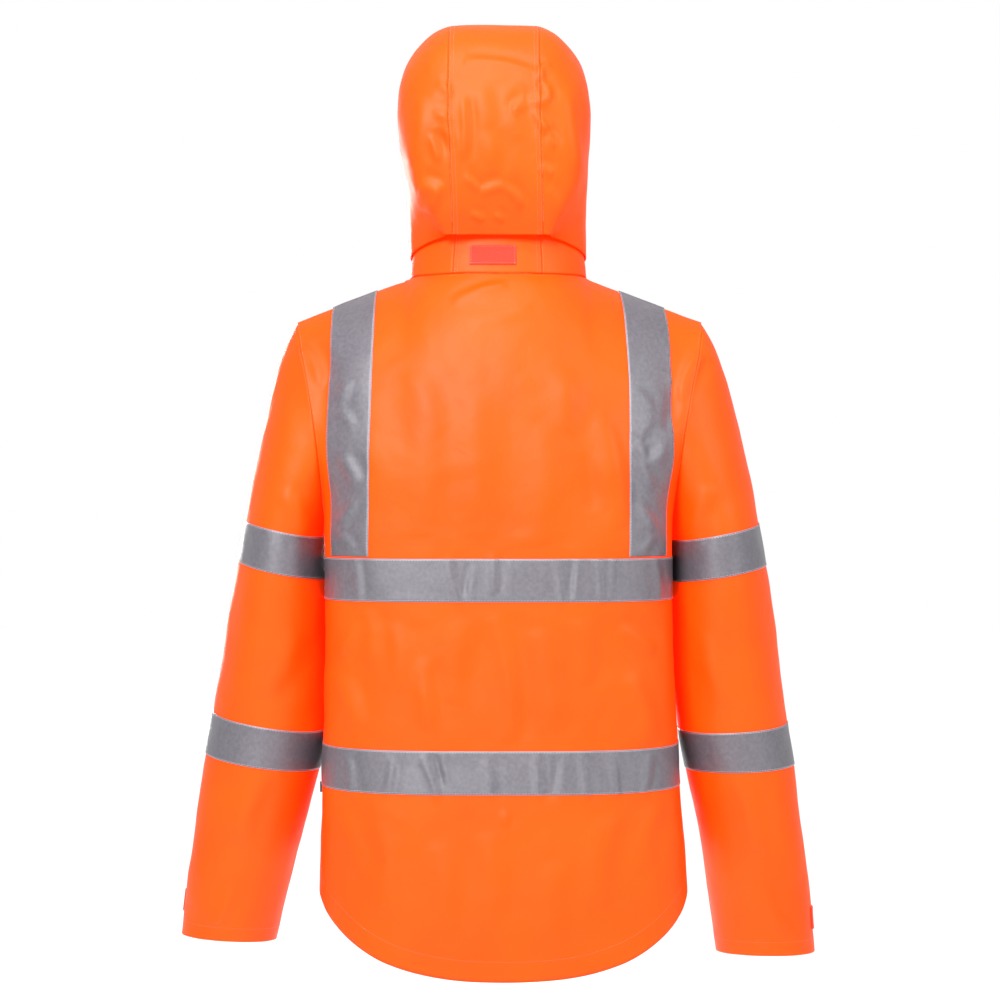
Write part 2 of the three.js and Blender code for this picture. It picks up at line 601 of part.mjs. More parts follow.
// Sleeve as rings from the armhole to the cuff, each starting at its outermost point
function sleeve(name) {
  const { side, rings, levels, folds, cap_bulge } = SLEEVES[name];
  const front = fronts[name];
  const hole = [];
  const holeNormals = [];
  for (let i = 0; i <= ARMPIT_ROW; i += 1) {
    hole.push(backGrid[i][backColumn(side, LAST)]);
    holeNormals.push(backNormals[i][backColumn(side, LAST)]);
  }
  for (let i = ARMPIT_ROW - 1; i > 0; i -= 1) {
    hole.push(front.grid[i][LAST]);
    holeNormals.push(front.normals[i][LAST]);
  }
  const count = hole.length;
  const turnOf = (k) => (360 * k) / count;
  const ringPoint = (z, k) => {
    const turn = radians(turnOf(k));
    const across = read(rings, 'z', z, 'half') * Math.cos(turn);
    const back = read(rings, 'z', z, 'deep') * Math.sin(turn);
    const lift = across * Math.tan(radians(read(rings, 'z', z, 'rise')))
      - back * Math.tan(radians(read(rings, 'z', z, 'dip')));
    const x = side * (read(rings, 'z', z, 'x') + across);
    return new THREE.Vector3(x, read(rings, 'z', z, 'y') + back, z + lift);
  };
  const start = hole.map((point, k) => {
    const turnedOut = soft((point.z - UNDERARM.from) / (UNDERARM.to - UNDERARM.from));
    const off = point.clone().add(new THREE.Vector3(side * ARMHOLE_GAP, 0, 0));
    return off.addScaledVector(holeNormals[k], turnedOut * CLOTH);
  });
  const grid = [];
  for (let i = 0; i < CAP_STEPS; i += 1) {
    grid.push(start.map((from, k) => {
      const to = ringPoint(levels[0], k);
      const turn = radians(turnOf(k));
      const swell = (1 + Math.cos(turn)) / 2;
      const bend = from.clone().lerp(to, CAP.along);
      bend.x += side * cap_bulge * Math.cos(turn) * swell;
      bend.y += CAP.bulge_deep * Math.sin(turn) * swell;
      return new THREE.QuadraticBezierCurve3(from, bend, to).getPoint(i / CAP_STEPS);
    }));
  }
  for (const z of levels) grid.push(start.map((_, k) => ringPoint(z, k)));
  const middle = SLEEVE_MIDDLE.clone().multiply(new THREE.Vector3(side, 1, 1));
  const plain = gridNormals(grid, middle, true);
  const ends = ['turn0', 'z0', 'turn1', 'z1'];
  const folded = grid.map((row, i) => row.map((point, k) => {
    if (i === 0) return point.clone();
    const turn = turnOf(k) > 180 ? turnOf(k) - 360 : turnOf(k);
    return point.clone().addScaledVector(plain[i][k], foldHeight(folds, ends, turn, point.z));
  }));
  const normals = gridNormals(folded, middle, true);
  normals[0] = holeNormals;
  return { grid: folded, normals };
}

const sleeves = { left: sleeve('left'), right: sleeve('right') };

function addSleeve(name) {
  const { grid, normals } = sleeves[name];
  const { levels, tape_rings: tapes, tab_rings: tab, tab_columns: columns } = SLEEVES[name];
  addCloth(`sleeve_${name}`, grid, normals, [], { round: true });
  const ring = (z) => CAP_STEPS + levels.indexOf(z);
  ['upper', 'lower'].forEach((place, i) => {
    const rows = tapes[i].map(ring);
    const all = [0, grid[0].length - 1];
    const [points, ways] = [part(grid, rows, all), part(normals, rows, all)];
    addOnTop(`tape_sleeve_${name}_${place}`, points, ways, [], { round: true });
  });
  const rows = [ring(tab[0]), ring(tab[1])];
  const turned = (table) => table.map((row) => [...row.slice(columns[1]), ...row.slice(0, columns[0] + 1)]);
  const option = { material: CORAL, thickness: TAB };
  const all = [0, grid[0].length];
  const [points, ways] = [part(turned(grid), rows, all), part(turned(normals), rows, all)];
  addOnTop(`cuff_tab_${name}`, points, ways, [], option);
}

// Body bands, and the braces that run from the upper band over the shoulders to the front
function addBodyTapes() {
  const bands = { upper: UPPER_BAND, lower: LOWER_BAND };
  for (const [place, levels] of Object.entries(bands)) {
    const rows = levels.map(rowOf);
    const edges = place === 'upper' ? ['top', 'start', 'end'] : ['start', 'end'];
    addOnTop(`tape_back_${place}`, part(backGrid, rows, [0, BACK_COLUMNS]),
      part(backNormals, rows, [0, BACK_COLUMNS]), edges);
    for (const name of ['left', 'right']) {
      const { grid, normals } = fronts[name];
      addOnTop(`tape_front_${place}_${name}`, part(grid, rows, [0, LAST]), part(normals, rows, [0, LAST]),
        edges.filter((edge) => edge !== 'start'));
    }
  }
  const rows = [0, rowOf(UPPER_BAND[0])];
  for (const [name, side] of [['left', 1], ['right', -1]]) {
    const span = [BRACE.inner, BRACE.outer];
    const behind = span.map((column) => backColumn(side, column)).sort((a, b) => a - b);
    addOnTop(`tape_brace_back_${name}`, part(backGrid, rows, behind), part(backNormals, rows, behind),
      ['top', 'bottom']);
    const { grid, normals } = fronts[name];
    addOnTop(`tape_brace_front_${name}`, part(grid, rows, span), part(normals, rows, span),
      ['top', 'bottom']);
  }
}

// Point on the collar's outer face, at an angle from the centre back and a share of its height
function collarPoint(degrees, share) {
  const angle = radians(degrees);
  const [across, back] = [Math.sin(angle), Math.cos(angle)];
  const foot = neckPoint(degrees);
  foot.z += COLLAR_SEAM;
  const depth = back > 0 ? COLLAR.back - COLLAR.side : COLLAR.side - COLLAR.front;
  const rise = back > 0
    ? (COLLAR.back_top - COLLAR.side_top) * back
    : (COLLAR.front_top - COLLAR.side_top) * (-back) ** COLLAR.front_power;
  const head = new THREE.Vector3(COLLAR.half * across, COLLAR.side + depth * back, COLLAR.side_top + rise);
  const point = foot.lerp(head, share);
  const bow = COLLAR.bow * Math.sin(Math.PI * share);
  const least = back < 0 ? FRONT_EDGE : 0;
  point.x = (Math.sign(across) || 1) * Math.max(Math.abs(point.x + bow * across), least);
  point.x += read(TORSO, 'z', Math.min(point.z, 0), 'lean');
  point.y += bow * back;
  return point;
}

const collarRight = COLLAR_SIDE.map((angle) => -angle).reverse();
const collarAngles = [...collarRight, ...COLLAR_CENTRE.slice(1, -1), ...COLLAR_SIDE];
const collarGrid = COLLAR_ROWS.map((share) => collarAngles.map((angle) => collarPoint(angle, share)));
const collarNormals = gridNormals(collarGrid, new THREE.Vector3(0, 0, 0));
collarNormals.forEach((row) => [row[0], row.at(-1)].forEach((normal) => normal.setX(0).normalize()));

function addCollar() {
  const side = COLLAR_SIDE.length - 1;
  const centre = COLLAR_CENTRE.length - 1;
  const rows = [0, COLLAR_ROWS.length - 1];
  const spans = {
    collar_right: { columns: [0, side], edges: ['end'] },
    collar_centre: { columns: [side, side + centre], edges: ['start', 'end'] },
    collar_left: { columns: [side + centre, side * 2 + centre], edges: ['start'] },
  };
  for (const [name, { columns, edges }] of Object.entries(spans)) {
    addCloth(name, part(collarGrid, rows, columns), part(collarNormals, rows, columns), edges);
  }
  const columns = PATCH_SPAN.columns.map((column) => side + column);
  const [points, ways] = [collarGrid, collarNormals].map((grid) => part(grid, PATCH_SPAN.rows, columns));
  addOnTop('loop_patch', points, ways, [], { material: CORAL, thickness: PATCH });
}

// Share of the collar's height at which it passes a level
function collarShare(degrees, z) {
  const [foot, head] = [collarPoint(degrees, 0), collarPoint(degrees, 1)];
  return (z - foot.z) / (head.z - foot.z);
}

// Foot of a hood hoop on the rim, just outside the collar
function rimPoint(at, side) {
  const degrees = side * read(HOOD, 'at', at, 'azimuth');
  const point = collarPoint(degrees, collarShare(degrees, read(HOOD, 'at', at, 'rim_z')));
  const off = read(HOOD, 'at', at, 'off');
  point.x += off * Math.sin(radians(degrees));
  point.y += off * Math.cos(radians(degrees));
  return point;
}

// Point on a hoop: on the strip for |across| up to 1, then down the side to the rim at 2
function hoodPoint(at, across) {
  const side = Math.sign(across) || 1;
  const apex = { y: read(HOOD, 'at', at, 'apex_y'), z: read(HOOD, 'at', at, 'apex_z') };
  const half = read(HOOD, 'at', at, 'half');
  const rim = rimPoint(at, side);
  const lean = rim.x - side * Math.abs(rimPoint(at, 1).x - rimPoint(at, -1).x) / 2;
  const along = Math.max(Math.abs(across) - 1, 0);
  const strip = Math.min(Math.abs(across), 1);
  const down = along > 0 ? read(HOOP, 'along', along, 'down') : HOOP[0].down * strip ** 2;
  const widest = half - HOOD_STRIP.half;
  const free = HOOD_STRIP.half * strip + widest * (along > 0 ? read(HOOP, 'along', along, 'spread') : 0);
  const foot = HOOD_STRIP.half + widest * HOOP.at(-1).spread;
  const drawn = (Math.abs(rim.x - lean) - foot) * soft((down - RIM_DRAW) / (1 - RIM_DRAW));
  const z = mix(apex.z, rim.z, down);
  const shift = HOOD_LEAN.shift * soft((z - HOOD_LEAN.from) / HOOD_LEAN.over);
  return new THREE.Vector3(side * (free + drawn) + lean + shift, mix(apex.y, rim.y, down), z);
}

function addHood() {
  const strip = Array.from({ length: HOOD_STRIP.columns + 1 }, (_, i) => (2 * i) / HOOD_STRIP.columns - 1);
  const side = HOOP_COLUMNS.slice(1).map((along) => 1 + along);
  const across = [...side.map((value) => -value).reverse(), ...strip, ...side];
  const plain = HOOD_ROWS.map((at) => across.map((value) => hoodPoint(at, value)));
  const ways = gridNormals(plain, HOOD_MIDDLE);
  const ends = ['x0', 'z0', 'x1', 'z1'];
  const grid = plain.map((row, i) => row.map((point, j) => {
    const rim = j === 0 || j === across.length - 1 || i < 2;
    const height = rim || point.y < 0 ? 0 : foldHeight(HOOD_FOLDS, ends, point.x, point.z);
    return point.clone().addScaledVector(ways[i][j], height);
  }));
  const normals = gridNormals(grid, HOOD_MIDDLE);
  const left = side.length + HOOD_STRIP.columns;
  const spans = {
    hood_side_right: { columns: [0, side.length], edges: ['end'] },
    hood_centre: { columns: [side.length, left], edges: ['start', 'end'] },
    hood_side_left: { columns: [left, across.length - 1], edges: ['start'] },
  };
  const rows = [0, HOOD_ROWS.length - 1];
  for (const [name, { columns, edges }] of Object.entries(spans)) {
    addCloth(name, part(grid, rows, columns), part(normals, rows, columns), edges);
  }
}

// Closed zip between the front edges, from the hem to the top of the collar
function addZip() {
  const spine = fronts.left.grid.map((row) => row[0]).reverse();
  const collar = collarGrid.map((row) => row.at(-1));
  const right = [...fronts.right.grid.map((row) => row[0]).reverse(), ...collarGrid.map((row) => row[0])];
  const line = [...spine, ...collar].map((point, i) => point.clone().add(right[i]).multiplyScalar(0.5));
  line.splice(spine.length, 1);
  const half = CHAIN.width / 2;
  const edge = (point, x) => new THREE.Vector3(point.x + x, point.y, point.z);
  const grid = line.map((point) => [-half, half].map((x) => edge(point, x)));
  const ways = gridNormals(grid, TORSO_MIDDLE);
  const outer = moved(grid, ways, CHAIN.proud);
  add('zip', wallGeometry(outer, moved(outer, ways, -CHAIN.thickness)), CHAIN_ORANGE);
}

// Solids for the two small pieces that are joined or cut
function toSolid(geometry) {
  const bare = geometry.clone();
  bare.deleteAttribute('normal');
  bare.deleteAttribute('uv');
  const merged = mergeVertices(bare, 1e-4);
  const vertProperties = new Float32Array(merged.attributes.position.array);
  return new wasm.Manifold(new wasm.Mesh({
    numProp: 3, vertProperties, triVerts: new Uint32Array(merged.index.array),
  }));
}

function toGeometry(solid) {
  const source = solid.getMesh();
  const geometry = new THREE.BufferGeometry();
  geometry.setAttribute('position', new THREE.BufferAttribute(source.vertProperties, 3));
  geometry.setIndex(new THREE.BufferAttribute(source.triVerts, 1));
  geometry.computeVertexNormals();
  return geometry;
}

// A profile of [y, z] points, as thick along X as its width and centred on x
function sideProfile(points, x, width) {
  const shape = new THREE.Shape(points.map(([y, z]) => new THREE.Vector2(y, z)));
  const geometry = new THREE.ExtrudeGeometry(shape, { depth: width, bevelEnabled: false });
  const turn = new THREE.Matrix4().makeBasis(
    new THREE.Vector3(0, 1, 0), new THREE.Vector3(0, 0, 1), new THREE.Vector3(1, 0, 0));
  return geometry.applyMatrix4(turn).translate(x - width / 2, 0, 0);
}

// Slider on the chain near the collar's top, its bridge, and the pull that hangs in the bridge
function addSlider() {
  const mid = collarPoint(180, SLIDER.at);
  const x = mid.x - FRONT_EDGE;
  const rear = mid.y - CHAIN.proud - SLIDER.clear;
  const face = rear - SLIDER.thickness;
  const [top, bottom] = [mid.z + SLIDER.height / 2, mid.z - SLIDER.height / 2];
  const plate = sideProfile([
    [rear, bottom], [rear, top], [face + SLIDER.chamfer, top], [face, top - SLIDER.chamfer],
    [face, bottom + SLIDER.chamfer], [face + SLIDER.chamfer, bottom],
  ], x, SLIDER.width);
  const root = face + SLIDER.chamfer / 2;
  const out = face - BRIDGE.reach;
  const [high, low] = [mid.z + BRIDGE.height / 2, mid.z - BRIDGE.height / 2];
  const bridge = sideProfile([
    [root, high], [out + BRIDGE.bar, high], [out, high - BRIDGE.bar], [out, low + BRIDGE.bar],
    [out + BRIDGE.bar, low], [root, low], [root, low + BRIDGE.bar], [out + BRIDGE.bar, low + BRIDGE.bar],
    [out + BRIDGE.bar, high - BRIDGE.bar], [root, high - BRIDGE.bar],
  ], x, BRIDGE.width);
  add('zip_slider', toGeometry(toSolid(plate).add(toSolid(bridge))), GREY_METAL);

  const hinge = { y: face - (BRIDGE.reach - BRIDGE.bar) / 2, z: mid.z };
  const half = PULL.width / 2;
  const tip = PULL.length - PULL.above;
  const outline = new THREE.Shape();
  outline.moveTo(x - half, hinge.z + PULL.above);
  outline.lineTo(x - half, hinge.z - tip + half);
  outline.absarc(x, hinge.z - tip + half, half, Math.PI, 2 * Math.PI, false);
  outline.lineTo(x + half, hinge.z + PULL.above);
  outline.closePath();
  const slot = new THREE.Path();
  const [left, right] = [x - PULL.slot_width / 2, x + PULL.slot_width / 2];
  slot.moveTo(left, hinge.z - PULL.above);
  slot.lineTo(left, hinge.z - PULL.slot);
  slot.lineTo(right, hinge.z - PULL.slot);
  slot.lineTo(right, hinge.z - PULL.above);
  slot.closePath();
  outline.holes.push(slot);
  const option = { depth: PULL.thickness, bevelEnabled: false, curveSegments: PULL.segments };
  const pull = new THREE.ExtrudeGeometry(outline, option);
  pull.rotateX(Math.PI / 2).translate(0, hinge.y + PULL.thickness / 2, 0);
  add('zip_pull', toGeometry(toSolid(pull)), GREY_METAL);
}

// Small plain loop label sewn into the left side seam
function addSideLabel() {
  const edge = read(TORSO, 'z', SIDE_LABEL.z, 'side') + read(TORSO, 'z', SIDE_LABEL.z, 'lean');
  const label = new THREE.BoxGeometry(SIDE_LABEL.out, SIDE_LABEL.thickness, SIDE_LABEL.height);
  add('side_label', label, LABEL).position.set(
    edge + SIDE_LABEL.gap + SIDE_LABEL.out / 2, read(TORSO, 'z', SIDE_LABEL.z, 'seam'), SIDE_LABEL.z);
}

addPanels();
addSleeve('left');
addSleeve('right');
addBodyTapes();
addCollar();
addHood();
addZip();
addSlider();
addSideLabel();

export default jacket;
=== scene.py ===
# %% [markdown]
# # A hooded high-visibility work jacket
#
# This script dresses a jacket whose solid pieces were made in CAD. The solids give the form: where
# each panel, band and seam lies. Blender adds what a solid can't have: thin cloth with soft creases,
# stitches, teeth on the zip and finishes that look like coated cloth and reflective tape.
#
# Every length is in metres. The wearer's left is +X, the front faces -Y and +Z is up.

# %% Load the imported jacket
import math

import bmesh
import bpy
import numpy as np
from mathutils import Matrix, Vector, kdtree, noise
from mathutils.bvhtree import BVHTree
from mathutils.interpolate import poly_3d_calc


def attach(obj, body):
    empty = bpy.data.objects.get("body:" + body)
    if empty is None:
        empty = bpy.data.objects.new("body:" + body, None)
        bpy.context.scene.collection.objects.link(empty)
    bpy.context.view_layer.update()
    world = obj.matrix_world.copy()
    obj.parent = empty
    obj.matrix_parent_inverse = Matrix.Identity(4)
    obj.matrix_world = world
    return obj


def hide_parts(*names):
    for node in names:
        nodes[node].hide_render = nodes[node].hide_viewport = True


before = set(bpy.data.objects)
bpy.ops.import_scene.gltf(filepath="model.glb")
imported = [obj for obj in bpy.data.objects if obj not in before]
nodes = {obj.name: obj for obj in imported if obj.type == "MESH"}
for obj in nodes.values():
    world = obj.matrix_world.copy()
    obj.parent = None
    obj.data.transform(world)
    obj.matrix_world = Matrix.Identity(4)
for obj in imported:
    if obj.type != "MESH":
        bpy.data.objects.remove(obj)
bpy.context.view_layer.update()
MM = 0.001
print("solid pieces:", len(nodes))

# %% [markdown]
# ## The camera
#
# The jacket is seen from behind, level with its middle. A long lens from 2.3 m away keeps the hood
# and the hem free of perspective, as in a catalogue picture.

# %% Camera behind the jacket
CAMERA_DISTANCE = 2.3
CAMERA_PLACE = (-0.0045, CAMERA_DISTANCE, -0.25)
LENS = 72.9

lens = bpy.data.cameras.new("camera")
lens.lens = LENS
camera = bpy.data.objects.new("camera", lens)
camera.location = CAMERA_PLACE
camera.rotation_euler = (math.radians(90), 0, math.radians(180))
bpy.context.scene.collection.objects.link(camera)
bpy.context.scene.camera = camera
print("camera", CAMERA_DISTANCE, "m behind")

# %% [markdown]
# ## The light and the floor
#
# A bright room all round gives an even light with hardly a shadow. The key lamp stands behind the
# jacket, above the camera: it lights the hood and the upper back most, and leaves the sides deeper.
# A smaller lamp from the right gives the long folds their lit and their dark side, one in front is for
# views of the front, and a small one close to the hood makes its crown the brightest part.
# Fluorescent cloth sends back more red than falls on it, so in a picture its red is full everywhere.
# Strong light on a deep orange gives the same look, and the grey tape is then made darker to suit.

# %% Room, lamps and floor
ROOM_LIGHT = 1.0
FLOOR_LEVEL = -1.35
FLOOR_SIZE = 30
FLOOR_TONE = (0.95, 0.95, 0.95, 1)
FLOOR_GLOW = 0.08
# name, place, point it looks at, size in metres and power in watts
LAMPS = [
    ("key", (0.7, 1.95, 0.75), (0, 0.05, -0.2), 0.8, 128),
    ("side", (-1.75, 1.45, 0.55), (0, 0.05, -0.25), 0.6, 44),
    ("front", (0.7, -2.1, -0.1), (0, 0, -0.25), 0.9, 95),
    ("hood", (0.05, 0.75, 1.15), (0, 0.08, 0.2), 0.5, 24),
]

scene = bpy.context.scene
scene.view_settings.view_transform = "Standard"
scene.view_settings.look = "None"

world = bpy.data.worlds.new("room")
world.use_nodes = True
world.node_tree.nodes["Background"].inputs["Color"].default_value = (1, 1, 1, 1)
world.node_tree.nodes["Background"].inputs["Strength"].default_value = ROOM_LIGHT
scene.world = world


def add_lamp(name, place, aim, size, power):
    """A square soft lamp that looks at a point."""
    data = bpy.data.lights.new(name, "AREA")
    data.size = size
    data.energy = power
    lamp = bpy.data.objects.new(name, data)
    lamp.location = place
    lamp.rotation_euler = (Vector(aim) - Vector(place)).to_track_quat("-Z", "Y").to_euler()
    scene.collection.objects.link(lamp)


for lamp_row in LAMPS:
    add_lamp(*lamp_row)


def mesh_of(form, name):
    """A bmesh as a mesh. The bmesh is freed."""
    mesh = bpy.data.meshes.new(name)
    form.to_mesh(mesh)
    form.free()
    return mesh


def new_object(name, mesh):
    """A mesh as an object in the scene."""
    thing = bpy.data.objects.new(name, mesh)
    scene.collection.objects.link(thing)
    return thing


floor_form = bmesh.new()
bmesh.ops.create_grid(floor_form, x_segments=1, y_segments=1, size=FLOOR_SIZE / 2)
bmesh.ops.translate(floor_form, verts=floor_form.verts, vec=(0, 0, FLOOR_LEVEL))
floor = new_object("floor", mesh_of(floor_form, "floor"))

floor_paint = bpy.data.materials.new("pale_floor")
floor_paint.use_nodes = True
floor_shader = floor_paint.node_tree.nodes["Principled BSDF"]
floor_shader.inputs["Base Color"].default_value = FLOOR_TONE
floor_shader.inputs["Roughness"].default_value = 0.9
floor_shader.inputs["Specular IOR Level"].default_value = 0.0
floor_shader.inputs["Emission Color"].default_value = (1, 1, 1, 1)
floor_shader.inputs["Emission Strength"].default_value = FLOOR_GLOW
floor.data.materials.append(floor_paint)
print("lamps", len(LAMPS), "floor", FLOOR_SIZE, "m")

# %% [markdown]
# ## Finishes
#
# Each finish is a few nodes on the Principled shader. Noise on Object coordinates gives cloth its
# slight change of colour from place to place, and a bump gives its weave and its crumpled look.
# A value that is the same everywhere is typed into the shader's own socket, so that it is exported.


# %% Helpers for finishes
def new_finish(name, roughness, metallic=0.0, **sockets):
    """A material with a Principled shader, its node tree and the shader."""
    finish = bpy.data.materials.new(name)
    finish.use_nodes = True
    tree = finish.node_tree
    shader = tree.nodes["Principled BSDF"]
    shader.inputs["Roughness"].default_value = roughness
    shader.inputs["Metallic"].default_value = metallic
    for socket, value in sockets.items():
        shader.inputs[socket.replace("_", " ")].default_value = value
    return finish, tree, shader


def object_place(tree):
    """The place on the object, for patterns that are fixed to it."""
    return tree.nodes.new("ShaderNodeTexCoord").outputs["Object"]


def noise_at(tree, place, scale, detail=2.0):
    """Noise of that many grains to a metre, from 0 to 1."""
    texture = tree.nodes.new("ShaderNodeTexNoise")
    texture.inputs["Scale"].default_value = scale
    texture.inputs["Detail"].default_value = detail
    tree.links.new(place, texture.inputs["Vector"])
    return texture.outputs["Fac"]


def colour_between(tree, factor, first, second, low=0.3, high=0.7):
    """A colour that goes from the first to the second as the factor goes from low to high."""
    ramp = tree.nodes.new("ShaderNodeValToRGB")
    ramp.color_ramp.elements[0].position = low
    ramp.color_ramp.elements[0].color = (*first, 1)
    ramp.color_ramp.elements[1].position = high
    ramp.color_ramp.elements[1].color = (*second, 1)
    tree.links.new(factor, ramp.inputs["Fac"])
    return ramp.outputs["Color"]


def add_bump(tree, shader, height, strength, distance):
    """Raises a pattern on the surface, on top of any bump that is there."""
    bump = tree.nodes.new("ShaderNodeBump")
    bump.inputs["Strength"].default_value = strength
    bump.inputs["Distance"].default_value = distance
    tree.links.new(height, bump.inputs["Height"])
    before = shader.inputs["Normal"].links
    if before:
        tree.links.new(before[0].from_socket, bump.inputs["Normal"])
    tree.links.new(bump.outputs["Normal"], shader.inputs["Normal"])


def weave_at(tree, place, pitch):
    """A plain weave: threads along the body and across it, a pitch apart."""
    bands = []
    for direction in ("X", "Z"):
        wave = tree.nodes.new("ShaderNodeTexWave")
        wave.bands_direction = direction
        wave.inputs["Scale"].default_value = math.pi / 10 / pitch
        wave.inputs["Distortion"].default_value = 0.6
        wave.inputs["Detail Scale"].default_value = 1.0
        tree.links.new(place, wave.inputs["Vector"])
        bands.append(wave.outputs["Fac"])
    both = tree.nodes.new("ShaderNodeMath")
    both.operation = "MULTIPLY"
    tree.links.new(bands[0], both.inputs[0])
    tree.links.new(bands[1], both.inputs[1])
    return both.outputs["Value"]


# %% [markdown]
# The shell is polyester with a smooth coating. It is the strongest colour of the jacket, a
# fluorescent orange, and it is given a painted red glow, a little light of its own that keeps
# its red full in shade. Two bumps, one of grains a few centimetres wide and one of a few
# millimetres, break up the light as lightly crumpled cloth does.

# %% Shell cloth
ORANGE = (0.93, 0.038, 0.0)
ORANGE_DEEP = (0.9, 0.032, 0.0)
# painted glow: the shell gives off a little red light of its own, so its red stays full in shade
PAINTED_RED_GLOW = (1.0, 0.03, 0.0, 1)
PAINTED_GLOW_STRENGTH = 0.3
SHELL_WEAVE = 0.6 * MM


def make_shell_cloth():
    finish, tree, shader = new_finish("shell_cloth", 0.5, Specular_IOR_Level=0.1,
                                      Emission_Color=PAINTED_RED_GLOW, Emission_Strength=PAINTED_GLOW_STRENGTH)
    place = object_place(tree)
    tone = colour_between(tree, noise_at(tree, place, 9), ORANGE, ORANGE_DEEP)
    tree.links.new(tone, shader.inputs["Base Color"])
    add_bump(tree, shader, noise_at(tree, place, 34, 3), 0.22, 0.004)
    add_bump(tree, shader, noise_at(tree, place, 160, 2), 0.1, 0.0012)
    add_bump(tree, shader, weave_at(tree, place, SHELL_WEAVE), 0.12, 0.0002)
    return finish


shell_cloth = make_shell_cloth()
print("finish", shell_cloth.name)

# %% [markdown]
# The reflective tape is woven, silver-grey with a touch of violet, and a little paler along its
# two stitched edges. How far a point lies from the edge is kept on the tape's own points, as the
# attribute edge_distance, because the tapes run in all directions.

# %% Reflective tape
TAPE_GREY = (0.063, 0.058, 0.068)
TAPE_DARK = (0.045, 0.041, 0.05)
TAPE_EDGE = (0.085, 0.079, 0.09)
EDGE_WIDTH = 1.5 * MM
TAPE_WEAVE = 0.7 * MM


def make_reflective_tape():
    finish, tree, shader = new_finish("reflective_tape", 0.4, 0.1, Specular_IOR_Level=0.5)
    place = object_place(tree)
    grey = colour_between(tree, noise_at(tree, place, 240, 4), TAPE_DARK, TAPE_GREY)
    distance = tree.nodes.new("ShaderNodeAttribute")
    distance.attribute_name = "edge_distance"
    inside = tree.nodes.new("ShaderNodeMapRange")
    inside.inputs["From Min"].default_value = EDGE_WIDTH * 0.8
    inside.inputs["From Max"].default_value = EDGE_WIDTH
    tree.links.new(distance.outputs["Fac"], inside.inputs["Value"])
    blend = tree.nodes.new("ShaderNodeMix")
    blend.data_type = "RGBA"
    tree.links.new(inside.outputs["Result"], blend.inputs["Factor"])
    for socket in blend.inputs:
        if socket.name == "A" and socket.type == "RGBA":
            socket.default_value = (*TAPE_EDGE, 1)
        if socket.name == "B" and socket.type == "RGBA":
            tree.links.new(grey, socket)
    colour = [socket for socket in blend.outputs if socket.type == "RGBA"][0]
    tree.links.new(colour, shader.inputs["Base Color"])
    add_bump(tree, shader, noise_at(tree, place, 70, 3), 0.2, 0.0015)
    add_bump(tree, shader, weave_at(tree, place, TAPE_WEAVE), 0.35, 0.0003)
    return finish


reflective_tape = make_reflective_tape()
print("finish", reflective_tape.name)

# %% [markdown]
# Hook and loop tape is a felt of tiny loops, so its bump is fine and deep and it has no gloss. The
# label, the thread, the teeth of the zip and its metal are small, and a few nodes each are enough.

# %% Small finishes
# the darker and the lighter colour of each
LOOP_COLOURS = ((0.62, 0.012, 0.005), (0.9, 0.019, 0.009))
LABEL_COLOURS = ((0.008, 0.007, 0.008), (0.02, 0.018, 0.02))
ORANGE_THREAD = ((0.7, 0.026, 0.001), (0.88, 0.038, 0.002))
PALE_THREAD = ((0.15, 0.145, 0.152), (0.22, 0.21, 0.225))
PLASTIC_COLOURS = ((0.7, 0.032, 0.002), (0.82, 0.045, 0.004))
METAL_COLOURS = ((0.06, 0.062, 0.066), (0.12, 0.122, 0.128))
LABEL_WEAVE = 0.4 * MM


def make_loop_tape():
    finish, tree, shader = new_finish("loop_tape", 0.9, Sheen_Weight=0.25, Sheen_Roughness=0.6,
                                      Sheen_Tint=(1.0, 0.6, 0.5, 1), Specular_IOR_Level=0.1)
    place = object_place(tree)
    pile = noise_at(tree, place, 900, 3)
    tree.links.new(colour_between(tree, pile, *LOOP_COLOURS), shader.inputs["Base Color"])
    add_bump(tree, shader, pile, 0.8, 0.0006)
    return finish


def make_label_cloth():
    finish, tree, shader = new_finish("label_cloth", 0.8, Sheen_Weight=0.2)
    weave = weave_at(tree, object_place(tree), LABEL_WEAVE)
    tree.links.new(colour_between(tree, weave, *LABEL_COLOURS, 0, 1), shader.inputs["Base Color"])
    add_bump(tree, shader, weave, 0.5, 0.0002)
    return finish


def make_thread(name, colours):
    finish, tree, shader = new_finish(name, 0.6, Sheen_Weight=0.15)
    tone = colour_between(tree, noise_at(tree, object_place(tree), 700), *colours)
    tree.links.new(tone, shader.inputs["Base Color"])
    return finish


def make_zip_plastic():
    finish, tree, shader = new_finish("zip_plastic", 0.38, Specular_IOR_Level=0.5)
    tone = colour_between(tree, noise_at(tree, object_place(tree), 300), *PLASTIC_COLOURS)
    tree.links.new(tone, shader.inputs["Base Color"])
    return finish


def make_zip_metal():
    finish, tree, shader = new_finish("zip_metal", 0.34, 0.9)
    place = object_place(tree)
    tone = colour_between(tree, noise_at(tree, place, 400, 4), *METAL_COLOURS)
    tree.links.new(tone, shader.inputs["Base Color"])
    add_bump(tree, shader, noise_at(tree, place, 1500), 0.1, 0.0001)
    return finish


loop_tape = make_loop_tape()
label_cloth = make_label_cloth()
orange_thread = make_thread("orange_thread", ORANGE_THREAD)
pale_thread = make_thread("pale_thread", PALE_THREAD)
zip_plastic = make_zip_plastic()
zip_metal = make_zip_metal()
print("small finishes 6")

# %% [markdown]
# ## From a solid wall to thin cloth
#
# A CAD panel is a closed wall of flat faces. Cloth is thinner and round, so only the wall's outer
# face is kept: the narrow rim between the two faces is taken away, which leaves two loose sheets,
# and the one that looks out stays. The triangles are paired into the squares they came from, and a
# Subdivision Surface makes the sheet smooth. Tapes, patch and tabs are walls too, and are treated alike.

# %% Outer sheet of a wall
PANEL_WALL = 1.6 * MM
WALL_ERROR = 0.005 * MM
SAME_POINT = 0.001 * MM


